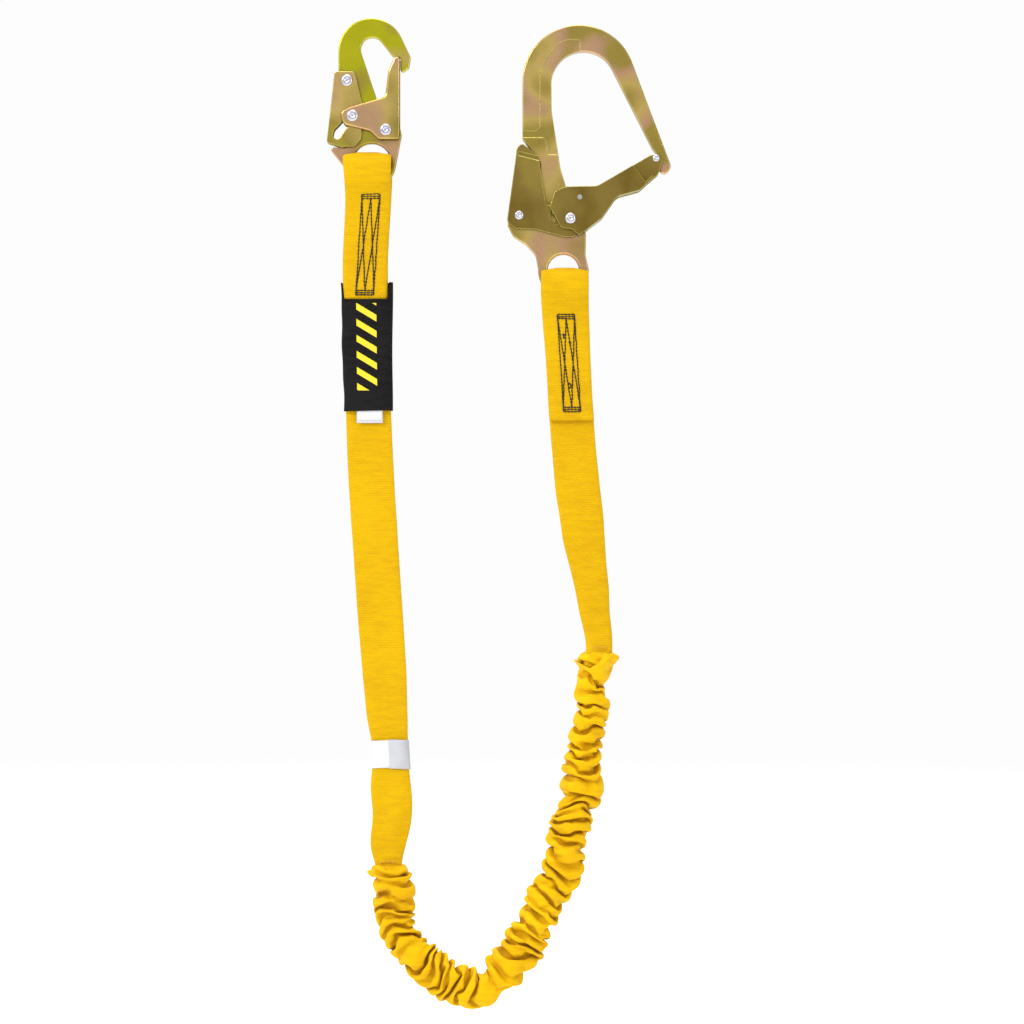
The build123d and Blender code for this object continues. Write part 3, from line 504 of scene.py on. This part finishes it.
def webbing_end(side, crown, join, tail_end, main, x_of, half_of, neck, slack, pinch, seed):
    """Jacket end and its core strap. pinch is (z, spread, extra half thickness) where it turns round."""

    def thick(line, s):
        return 2.0 + pinch[2] * np.exp(-(((line[:, 1] - pinch[0]) / pinch[1]) ** 2)) * (line[:, 0] > -1.5)

    def half(line, s):
        inside = in_eye(line, crown)
        return half_of(line[:, 1]) * (1 - inside) + neck * inside

    def centre(line, s):
        return x_of(line[:, 1])

    def inner_half(line, s):
        return half(line, s) * 0.62

    def inner_thick(line, s):
        return np.full_like(s, 0.7)

    relief = strap_relief(seed, slack, tail_end)

    def inner_relief(line, s, across, through):
        return across, relief(line, s, across, through)[1]

    path = loop_path(crown, join, tail_end, main)
    body = f"{side}_strap"
    jacket = strap(f"{side}_webbing", path, centre, half, thick, YELLOW, body, relief)
    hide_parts(f"{side}_end_webbing")
    inner = strap(
        f"{side}_core_strap",
        main[1:],
        centre,
        inner_half,
        inner_thick,
        YARN,
        body,
        inner_relief,
        step=4.0,
        count=24,
    )
    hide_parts(f"{side}_end_core")


SNAP_LOOP = (-88.4, -126.0, -212.5)  # crown, join of the legs, end of the tail
REBAR_LOOP = (-186.4, -219.0, -315.5)
SNAP_PINCH = (-703.0, 16.0, 5.0)
REBAR_PINCH = (-525.0, 38.0, 5.0)
SNAP_NECK = 12.0  # half width of the webbing inside the hook's eye
REBAR_NECK = 10.4
webbing_end("snap", *SNAP_LOOP, SNAP_MAIN, snap_x, snap_w, SNAP_NECK, snap_slack, SNAP_PINCH, 5)
webbing_end("rebar", *REBAR_LOOP, REBAR_MAIN, rebar_x, rebar_w, REBAR_NECK, rebar_slack, REBAR_PINCH, 17)


# ---------------------------------------------------------------- wear pads
def pad(name, body, node, x0, half, crown, low):
    """Thin liner between the loop and the eye."""
    radius = 9.15
    top = crown - 13.6
    arch = [(-radius * math.cos(a), top + radius * math.sin(a)) for a in np.linspace(0, math.pi, 15)]

    def even(value):
        return lambda line, s: np.full_like(s, value)

    def wavy_edge(line, s, across, through):
        return across * (1 + 0.01 * np.sin(s / 3.0))[:, None], through

    path = [(-radius, low)] + arch + [(radius, low)]
    piece = strap(name, path, even(x0), even(half), even(0.5), PAD, body, wavy_edge, step=1.0, count=28)
    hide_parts(node)


pad("snap_pad", "snap_strap", "snap_wear_pad", -0.4, 11.8, -88.0, -110.6)
pad("rebar_pad", "rebar_strap", "rebar_wear_pad", 162.2, 10.0, -186.0, -200.6)


# ---------------------------------------------------------------- gathered length
GATHER_LINE = [
    (13.8, -693.0), (14.6, -706.0), (15.7, -723.0), (17.4, -740.0), (25.9, -754.0), (34.6, -766.0),
    (45.8, -777.0), (60.1, -787.0), (74.0, -796.0), (87.0, -799.5), (95.6, -798.0), (103.0, -792.0),
    (109.5, -784.0), (119.4, -773.0), (130.0, -754.0), (144.0, -733.0), (154.4, -713.0), (161.5, -692.0),
    (167.4, -671.0), (171.0, -651.0), (174.3, -631.0), (177.0, -611.0), (180.6, -590.0), (184.2, -570.0),
    (186.2, -552.0), (187.0, -538.0), (192.6, -524.0), (192.6, -512.0),
]
SPLIT_X = 128.0  # the two jacket pieces meet here, past the bottom of the U
TUBE_A = 0.0088  # in-plane half width of the cloth before it swells
TUBE_B = 0.0066
CLOTH_SCALE = 10.0  # the cloth is simulated at ten times its size
CLOTH_RING = 36


def puckered_tube(length, seed):
    """Cloth tube around its elastic: twice as much cloth as length, both ends held, settled by simulation."""
    rows = int(length / 0.00143)
    rng = np.random.default_rng(seed)
    folds = np.concatenate([[0], np.cumsum(rng.uniform(0.0075, 0.0135, 200))])
    turn = np.linspace(0, TAU, CLOTH_RING, endpoint=False)
    z, th = np.meshgrid(np.linspace(0, length, rows), turn, indexing="ij")
    slant = 0.0022 * np.sin(th + 3 * np.sin(z * 31)) + 0.0015 * np.sin(2 * th + z * 57 + 1.3)
    ripple = 0.0012 * (np.abs(np.sin(math.pi * np.interp(z + slant, folds, np.arange(len(folds))))) - 0.4)
    start = np.stack([(TUBE_A + ripple) * np.cos(th), (TUBE_B + ripple) * np.sin(th), z], -1).reshape(-1, 3)
    faces = []
    for i in range(rows - 1):
        for j in range(CLOTH_RING):
            k = (j + 1) % CLOTH_RING
            a, b = i * CLOTH_RING, (i + 1) * CLOTH_RING
            faces.append((a + j, a + k, b + k, b + j))
    mesh = bpy.data.meshes.new("cloth")
    mesh.from_pydata((start * CLOTH_SCALE).tolist(), [], faces)
    cloth = bpy.data.objects.new("cloth", mesh)
    bpy.context.scene.collection.objects.link(cloth)
    ends = cloth.vertex_groups.new(name="ends")
    ends.add([*range(CLOTH_RING * 2), *range((rows - 2) * CLOTH_RING, rows * CLOTH_RING)], 1.0, "REPLACE")
    modifier = cloth.modifiers.new("cloth", "CLOTH")
    settings = modifier.settings
    settings.quality = 5
    settings.mass = 0.25
    settings.tension_stiffness = 25
    settings.compression_stiffness = 25
    settings.shear_stiffness = 4
    settings.bending_stiffness = 2.5
    settings.tension_damping = 8
    settings.compression_damping = 8
    settings.shear_damping = 4
    settings.bending_damping = 1
    settings.air_damping = 3
    settings.effector_weights.gravity = 0
    settings.vertex_group_mass = "ends"
    settings.shrink_min = -1.0
    settings.shrink_max = -1.0
    modifier.collision_settings.use_self_collision = True
    modifier.collision_settings.self_distance_min = 0.006
    modifier.collision_settings.distance_min = 0.004
    modifier.collision_settings.collision_quality = 3
    bpy.ops.mesh.primitive_cylinder_add(
        vertices=32, radius=1, depth=length * CLOTH_SCALE * 1.1, location=(0, 0, length * CLOTH_SCALE / 2)
    )
    elastic = bpy.context.object
    elastic.scale = (TUBE_A * CLOTH_SCALE * 0.83, TUBE_B * CLOTH_SCALE * 0.81, 1)
    elastic.modifiers.new("solid", "COLLISION")
    elastic.collision.thickness_outer = 0.004
    scene = bpy.context.scene
    frames = 40
    modifier.point_cache.frame_end = frames
    for number in range(1, frames + 1):
        scene.frame_set(number)
    shape = cloth.evaluated_get(bpy.context.evaluated_depsgraph_get()).to_mesh()
    settled = np.empty(len(shape.vertices) * 3)
    shape.vertices.foreach_get("co", settled)
    settled = settled.reshape(rows, CLOTH_RING, 3) / CLOTH_SCALE
    for obj in (cloth, elastic):
        bpy.data.objects.remove(obj, do_unlink=True)
    scene.frame_set(1)
    return settled


def gather_frame(line, t):
    """Points, sideways directions and along directions of the gathered length's line at distances t."""
    step = np.linalg.norm(np.diff(line, axis=0), axis=1)
    s = np.concatenate([[0], np.cumsum(step)])
    slope = np.gradient(line, axis=0)
    slope /= np.linalg.norm(slope, axis=1)[:, None]
    px, pz = np.interp(t, s, line[:, 0]), np.interp(t, s, line[:, 1])
    tx, tz = np.interp(t, s, slope[:, 0]), np.interp(t, s, slope[:, 1])
    return px, pz, tz, -tx, tx, tz


# (distance along, spread, change of girth): flared mouths, the thin twist, slack and tight parts
GIRTH = [
    (0.0, 8.0, 0.26), (20.0, 14.0, 0.06), (70.0, 16.0, -0.06), (112.0, 18.0, 0.08),
    (158.0, 7.0, -0.42), (176.0, 8.0, 0.08), (205.0, 18.0, 0.08), (262.0, 14.0, 0.0),
    (330.0, 20.0, 0.04),
]
GIRTH_FROM_END = [(55.0, 26.0, -0.20), (27.0, 11.0, -0.26), (8.0, 5.0, 0.30), (0.0, 6.0, 0.15)]


def girth_at(t, total):
    size = np.ones_like(t)
    from_end = [(total - back, spread, change) for back, spread, change in GIRTH_FROM_END]
    for centre, spread, change in GIRTH + from_end:
        size = size + change * np.exp(-(((t - centre) / spread) ** 2))
    return size


def lay_along(line, total, x, y, t):
    """Maps straight tube coordinates (mm) onto the centre line."""
    px, pz, sx, sz, tx, tz = gather_frame(line, np.clip(t, 0, total))
    over = t - np.clip(t, 0, total)
    size = girth_at(np.clip(t, 0, total), total)
    placed_x = px + sx * x * size + tx * over
    placed_z = pz + sz * x * size + tz * over
    return np.stack([placed_x, y * (0.55 + 0.45 * size), placed_z], -1) * MM


def gathered_length():
    line, along = smooth_path(GATHER_LINE, 3, 0.8)
    total = along[-1]
    cloth = puckered_tube(total * MM, 3) / MM
    rings = lay_along(line, total, cloth[:, :, 0], cloth[:, :, 1], cloth[:, :, 2])
    rest = np.linspace(0, total * 2.0, len(rings))
    around = np.linspace(0, 52.0, CLOTH_RING, endpoint=False)
    split = int(np.interp(SPLIT_X, line[:, 0][along > 120], along[along > 120]) / total * (len(rings) - 1))
    spans = {"snap": (0, split + 1), "rebar": (split, len(rings))}
    for side, (first, last) in spans.items():
        name = f"gathered_webbing_{side}_side"
        jacket = tube(name, rings[first:last], around * MM, rest[first:last] * MM, GATHERED, caps=False)
        jacket.modifiers.new("smooth", "SUBSURF").levels = 1
        jacket.modifiers["smooth"].render_levels = 1
        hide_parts(f"gather_jacket_{side}_side")
        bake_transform(jacket)
        t = np.linspace(first / len(rings) * total + 4, last / len(rings) * total - 4, 90)
        a = np.linspace(0, TAU, 20, endpoint=False)
        t, a = np.meshgrid(t, a, indexing="ij")
        sway = 0.5 * np.sin(t / 14.0)
        core = tube(
            f"inner_core_{side}_side", lay_along(line, total, sway + 3.2 * np.cos(a), 2.8 * np.sin(a), t),
            a[0] * 3.2 * MM, t[:, 0] * MM, YARN,
        )
        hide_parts(f"absorber_core_{side}_side")
        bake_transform(core)
        strands = []
        for offset in (-4.6, 4.6):
            strands.append(lay_along(line, total, offset + 0.6 * np.cos(a), 1.9 * np.sin(a), t))
        strand_mesh = two_tubes(f"inner_elastic_{side}_side", strands, a[0] * MM, t[:, 0] * MM, ELASTIC)
        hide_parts(f"elastic_strands_{side}_side")
        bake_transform(strand_mesh)


def two_tubes(name, pair, around, along, material):
    """Two closed tubes of the same size in one piece."""
    pieces = [tube(f"{name}_{i}", rings, around, along, material) for i, rings in enumerate(pair)]
    verts = [tuple(v.co) for p in pieces for v in p.data.vertices]
    shift = len(pieces[0].data.vertices)
    faces = [tuple(f.vertices) for f in pieces[0].data.polygons]
    faces += [tuple(v + shift for v in f.vertices) for f in pieces[1].data.polygons]
    uv = [(float(a), float(b)) for _ in pieces for b in along for a in around]
    for p in pieces:
        bpy.data.objects.remove(p, do_unlink=True)
    return make_mesh(name, verts, faces, uv, material)


gathered_length()


# ---------------------------------------------------------------- stitching
def cord_bits(segments, radius, sides=8, rows=5):
    """Short humped capsules, one for each stitch; a segment is (start, end, outward)."""
    verts, faces, uv = [], [], []
    for start, end, out in segments:
        start, end, out = np.array(start), np.array(end), np.array(out)
        along = end - start
        length = np.linalg.norm(along)
        along /= length
        third = np.cross(along, out)
        base = len(verts)
        for i in range(rows):
            t = i / (rows - 1)
            swell = radius * max(0.35, math.sin(math.pi * min(max(t, 0.08), 0.92)) ** 0.35)
            centre = start + along * length * t + out * (math.sin(math.pi * t) * 0.25 - 0.2)
            for j in range(sides):
                a = TAU * j / sides
                verts.append(centre + swell * (math.cos(a) * out + math.sin(a) * third))
                uv.append((j / sides * 0.002, t * length * MM))
        for i in range(rows - 1):
            for j in range(sides):
                k = (j + 1) % sides
                ring = base + i * sides
                faces.append((ring + j, ring + k, ring + sides + k, ring + sides + j))
        faces.append(tuple(base + j for j in reversed(range(sides))))
        faces.append(tuple(base + (rows - 1) * sides + j for j in range(sides)))
    return np.array(verts) * MM, faces, uv


def stitch_box(name, node, body, top, bottom, half, path, seed, strays):
    """Box stitch on both faces. top and bottom are (x, z), path is the line of the webbing."""
    leg = smooth_path(path, 4, 1.0)[0]
    leg = leg[: np.argmax(leg[:, 1])]
    rng = np.random.default_rng(seed)
    bar = 3.6
    (xt, zt), (xb, zb) = top, bottom
    tilt = (xb - xt) / (zb - zt)

    def at(z, offset):
        return np.array([xt + (z - zt) * tilt + offset, z])

    def lifted(point, sign, extra=0.0):
        depth = np.interp(point[1], leg[:, 1], -leg[:, 0]) + LEG_Y + extra
        return (point[0], sign * depth, point[1])

    runs = []
    for high, low in ((zt, zt - bar), (zb + bar, zb)):
        for z in (high, low, (high + low) / 2):
            runs.append((at(z, -half), at(z, half)))
        runs.append((at(high, -half), at(low, -half)))
        runs.append((at(high, half), at(low, half)))
    for side in (-half, half):
        runs.append((at(zt, side), at(zb, side)))
        runs.append((at(zt - bar, 0), at(zb + bar, side)))
        runs.append((at(zb + bar, 0), at(zt - bar, side)))
    pieces = []
    for sign in (-1, 1):
        for start, end in runs:
            vector = end - start
            length = np.linalg.norm(vector)
            count = max(1, int(round(length / 3.0)))
            drift = rng.normal(0, 0.12, (count + 1, 2))
            for i in range(count):
                a = start + vector * (i + 0.04) / count + drift[i]
                b = start + vector * (i + 0.96) / count + drift[i + 1]
                pieces.append((lifted(a, sign), lifted(b, sign), (0.0, float(sign), 0.0)))
        for _ in range(strays if sign < 0 else 0):
            z = rng.uniform(zb + 8, zt - 8)
            spot = at(z, rng.uniform(-0.5, 0.5) * half)
            for _ in range(3):
                turn = rng.uniform(0, TAU)
                tip = spot + 2.2 * np.array([math.cos(turn), math.sin(turn)])
                pieces.append((lifted(spot, sign, 0.3), lifted(tip, sign, 0.2), (0.0, float(sign), 0.0)))
                spot = tip
    verts, faces, uv = cord_bits(pieces, 0.6)
    piece = make_mesh(name, verts, faces, uv, CORD, body)
    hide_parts(node)


stitch_box(
    "snap_box_stitch", "snap_stitching", "snap_strap", (-0.9, -123.6), (-6.5, -208.8), 7.6,
    loop_path(*SNAP_LOOP, SNAP_MAIN), 3, 0,
)
stitch_box(
    "rebar_box_stitch", "rebar_stitching", "rebar_strap", (164.2, -225.5), (169.6, -308.0), 7.2,
    loop_path(*REBAR_LOOP, REBAR_MAIN), 4, 3,
)


# ---------------------------------------------------------------- tacks of the elastic
def tack(name, node, body, x, z, half, face):
    """Row of short stitches through the webbing, on both faces."""
    bits = []
    for sign in (-1, 1):
        for k in range(14):
            px = x - half + 2 * half * k / 13
            low = (px, sign * face, z - 1.6)
            high = (px + 0.7, sign * face, z + 1.6)
            bits.append((low, high, (0.0, float(sign), 0.0)))
    verts, faces, uv = cord_bits(bits, 0.35)
    piece = make_mesh(name, verts, faces, uv, TACK, body)
    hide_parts(node)


tack("elastic_tack_low", "elastic_tack_snap_side", "snap_strap", 14.0, -690.0, 7.0, 5.6)
tack("elastic_tack_high", "elastic_tack_rebar_side", "rebar_strap", 192.4, -508.0, 6.0, 6.0)


# ---------------------------------------------------------------- label cover
def cover_material():
    """Black woven nylon with plain yellow stripes near its lower half."""
    black = (0.013, 0.012, 0.012, 1.0)
    mat = woven("cover_weave", black, (0.006, 0.005, 0.005, 1.0), rib=1.0, relief=0.7, groove_shade=0.3)
    tree = mat.node_tree
    shader = tree.nodes["Principled BSDF"]
    where = add(tree, "ShaderNodeTexCoord").outputs["Object"]
    parts = add(tree, "ShaderNodeSeparateXYZ", {0: where})
    x, y, z = parts.outputs
    slanted = maths(tree, "ADD", z, maths(tree, "MULTIPLY", x, 0.6))
    phase = maths(tree, "FRACT", maths(tree, "MULTIPLY", slanted, 1 / 0.0135))
    stripe = maths(tree, "LESS_THAN", phase, 0.42)
    above = maths(tree, "GREATER_THAN", z, -0.290)
    along = maths(tree, "MULTIPLY", above, maths(tree, "LESS_THAN", z, -0.216))
    lean = maths(tree, "MULTIPLY", maths(tree, "ADD", z, 0.25), 0.01)
    middle = maths(tree, "ABSOLUTE", maths(tree, "ADD", maths(tree, "ADD", x, 0.0046), lean))
    across = maths(tree, "LESS_THAN", middle, 0.0085)
    front = maths(tree, "LESS_THAN", y, 0.0)
    shader.inputs["Sheen Weight"].default_value = 0.0
    striped = maths(tree, "MULTIPLY", stripe, along)
    mask = maths(tree, "MULTIPLY", striped, maths(tree, "MULTIPLY", across, front))
    base = shader.inputs["Base Color"].links[0].from_socket
    thread = mixed(tree, noise(tree, where, 900.0), (0.72, 0.56, 0.02, 1.0), (0.90, 0.74, 0.06, 1.0))
    put(tree, mixed(tree, mask, base, thread), shader.inputs["Base Color"])
    return mat


COVER_TOP = -198.2
COVER_FOOT = -307.3
NOTCH_DEPTH = 14.4  # the front edge is this much lower under the tail


def label_sleeve():
    """Woven sleeve. Its front edge is cut lower so that the strap's sewn tail lies over it."""
    count = 72
    rows = 80
    section = flat_section(count)
    t = np.linspace(0, 1, rows)[:, None]
    notch = np.clip((19.8 - np.abs(section[:, 0] * 21.6 + 0.9)) / 0.8, 0, 1) * (section[:, 1] < 0)
    top = COVER_TOP - NOTCH_DEPTH * notch
    z = top[None, :] + (COVER_FOOT - top[None, :]) * t
    down = (z - COVER_TOP) / (COVER_FOOT - COVER_TOP)
    left = -27.0 + 2.7 * down + 0.35 * np.sin(down * 9.0) + 0.2 * np.sin(down * 23.0)
    right = 17.3 - 0.1 * down + 0.3 * np.sin(down * 7.0 + 1.0)
    centre, half = (left + right) / 2, (right - left) / 2
    thick = 6.9 - 0.9 * np.clip((down - 0.5) / 0.3, 0, 1) + 0.15 * np.sin(down * 14.0)
    x = centre + section[None, :, 0] * half
    ripple = 0.35 * wave_noise(61, z / 17.0, x / 11.0, octaves=3)
    y = section[None, :, 1] * (thick + ripple)
    outer = np.stack([x, y, z + 0.25 * np.sin((x + 5) / 9.0)], -1)
    inner = outer.copy()
    inner[:, :, 0] = centre + (x - centre) * 0.965
    inner[:, :, 1] = y * 0.91
    both = np.concatenate([outer, inner[::-1]], 0)
    faces = []
    for i in range(2 * rows):
        n = (i + 1) % (2 * rows)
        for j in range(count):
            k = (j + 1) % count
            faces.append((i * count + j, n * count + j, n * count + k, i * count + k))
    girth = np.cumsum(np.concatenate([[0], np.linalg.norm(np.diff(section * [21.0, 6.0], axis=0), axis=1)]))
    uv = np.stack([np.broadcast_to(girth, both.shape[:2]), both[:, :, 2]], -1)
    verts = both.reshape(-1, 3) * MM
    uv = uv.reshape(-1, 2) * MM
    piece = make_mesh("label_sleeve", verts, faces, uv, cover_material(), "label_cover")
    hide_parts("label_cover")


label_sleeve()


def label_pages():
    """Three thin pages under the sleeve, slightly curled where they show."""
    verts, faces, uv = [], [], []
    for index in range(3):
        z = np.linspace(-233.0, -317.6 + 1.1 * index, 46)
        x = np.linspace(-13.2 + 0.3 * index, 9.0 - 0.2 * index, 12)
        Z, X = np.meshgrid(z, x, indexing="ij")
        out = np.clip((-304.0 - Z) / 14.0, 0, 1)
        y0 = -(3.75 + 0.5 * index) - out * (0.9 + 0.5 * index) * (0.6 + 0.4 * np.sin(X / 7.0))
        base = len(verts)
        for depth in (0.0, -0.3):
            for row in range(len(z)):
                for col in range(len(x)):
                    verts.append((X[row, col], y0[row, col] + depth, Z[row, col]))
                    uv.append((X[row, col] * MM, Z[row, col] * MM))
        n, m = len(z), len(x)
        for row in range(n - 1):
            for col in range(m - 1):
                a = base + row * m + col
                b = a + n * m
                faces.append((a, a + 1, a + m + 1, a + m))
                faces.append((b, b + m, b + m + 1, b + 1))
        rim = [(r, 0) for r in range(n)] + [(n - 1, c) for c in range(1, m)]
        rim += [(r, m - 1) for r in range(n - 2, -1, -1)] + [(0, c) for c in range(m - 2, 0, -1)]
        for (r0, c0), (r1, c1) in zip(rim, rim[1:] + rim[:1]):
            a, b = base + r0 * m + c0, base + r1 * m + c1
            faces.append((a, b, b + n * m, a + n * m))
    piece = make_mesh("label_leaves", np.array(verts) * MM, faces, uv, PAGE, "snap_strap")
    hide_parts("label_pages")


label_pages()


def wrap_label(name, node, z_top, z_low, grow, material, x_from=-1.0):
    """Label wrapped round the pinched webbing; x_from limits how much of the width it covers."""
    z = np.linspace(z_top, z_low, 22)
    section = flat_section(64)
    half = snap_w(z) + 0.7 + grow
    centre = snap_x(z)
    wobble = 0.25 * wave_noise(71, z / 5.0, octaves=2)
    x = centre[:, None] + section[None, :, 0] * (half + wobble)[:, None]
    low = centre[:, None] + x_from * half[:, None]
    x = np.maximum(x, low)
    crease = 0.25 * wave_noise(72, z[:, None] / 4.0 + 0 * x, x / 5.0, octaves=3)
    y = section[None, :, 1] * (2.95 + grow) + crease * np.abs(section[None, :, 1])
    zz = z[:, None] + 0.5 * np.sin(x / 9.0)
    rings = np.stack([x, y, zz], -1) * MM
    girth = np.cumsum(np.concatenate([[0], np.linalg.norm(np.diff(section * [16.0, 3.0], axis=0), axis=1)]))
    piece = tube(name, rings, girth * MM, z * MM, material, "snap_strap", caps=False)
    solid = piece.modifiers.new("thickness", "SOLIDIFY")
    solid.thickness = 0.0003
    solid.offset = -1
    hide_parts(node)


wrap_label("wrap_label", "serial_label", -587.4, -610.8, 0.0, PAGE)
wrap_label("wrap_film", "label_film", -586.8, -611.4, 0.4, FILM, -0.06)


# ---------------------------------------------------------------- stage
def stage_scene():
    """Pale floor, pale surroundings, soft lights and the camera."""
    reach = 60.0
    level = -0.86
    verts = [(-reach, -reach, level), (reach, -reach, level), (reach, reach, level), (-reach, reach, level)]
    mesh = bpy.data.meshes.new("floor")
    mesh.from_pydata(verts, [], [(0, 1, 2, 3)])
    floor = bpy.data.objects.new("floor", mesh)
    bpy.context.scene.collection.objects.link(floor)
    mat, tree, shader = new_material("pale_floor")
    shader.inputs["Base Color"].default_value = (0.93, 0.93, 0.93, 1.0)
    shader.inputs["Roughness"].default_value = 0.9
    where = add(tree, "ShaderNodeTexCoord").outputs["Object"]
    away = add(tree, "ShaderNodeVectorMath", {0: where}, operation="LENGTH").outputs["Value"]
    far = ramp(tree, maths(tree, "MULTIPLY", away, 0.25), [(0.35, grey(0.0)), (0.8, grey(1.0))])
    glow = add(tree, "ShaderNodeEmission", {"Color": grey(0.98)}).outputs[0]
    blend = add(tree, "ShaderNodeMixShader", {0: far, 1: shader.outputs[0], 2: glow})
    put(tree, blend.outputs[0], tree.nodes["Material Output"].inputs["Surface"])
    mesh.materials.append(mat)

    world = bpy.data.worlds.new("studio")
    bpy.context.scene.world = world
    world.use_nodes = True
    tree = world.node_tree
    direction = add(tree, "ShaderNodeTexCoord").outputs["Generated"]
    parts = add(tree, "ShaderNodeSeparateXYZ", {0: direction})
    tilted = maths(tree, "SUBTRACT", parts.outputs[2], maths(tree, "MULTIPLY", parts.outputs[0], 0.35))
    height = maths(tree, "ADD", maths(tree, "MULTIPLY", tilted, 0.5), 0.5)
    sky = ramp(tree, height, [(0.25, grey(0.20)), (0.46, grey(0.36)), (0.6, grey(0.78)), (0.8, grey(1.15))])
    seen = add(tree, "ShaderNodeLightPath").outputs["Is Camera Ray"]
    put(tree, mixed(tree, seen, sky, grey(0.98)), tree.nodes["Background"].inputs[0])
    tree.nodes["Background"].inputs[1].default_value = 1.0

    aim = Vector((0.11, 0.0, -0.39))
    lamps = [
        ((-1.5, -1.8, 1.2), 30.0, 0.9),
        ((1.9, -1.6, 0.2), 9.0, 1.0),
        ((0.1, -0.4, 1.8), 18.0, 1.3),
        ((0.1, 0.9, 1.7), 14.0, 1.2),
    ]
    for i, (spot, energy, size) in enumerate(lamps):
        light = bpy.data.lights.new(f"soft_{i}", "AREA")
        light.energy = energy
        light.size = size
        obj = bpy.data.objects.new(f"soft_{i}", light)
        bpy.context.scene.collection.objects.link(obj)
        obj.location = spot
        obj.rotation_euler = (aim - Vector(spot)).to_track_quat("-Z", "Y").to_euler()
    bpy.context.scene.view_settings.view_transform = "Standard"

    camera = bpy.data.objects.new("camera", bpy.data.cameras.new("camera"))
    bpy.context.scene.collection.objects.link(camera)
    camera.data.lens = 100
    centre = Vector((0.1186, 0.0, -0.3931))
    distance = 0.8704 * 100 / 36
    camera.location = centre + Vector((0.0, -distance, 0.0))
    camera.rotation_euler = (math.pi / 2, 0, 0)
    camera.data.clip_end = 50
    bpy.context.scene.camera = camera


stage_scene()
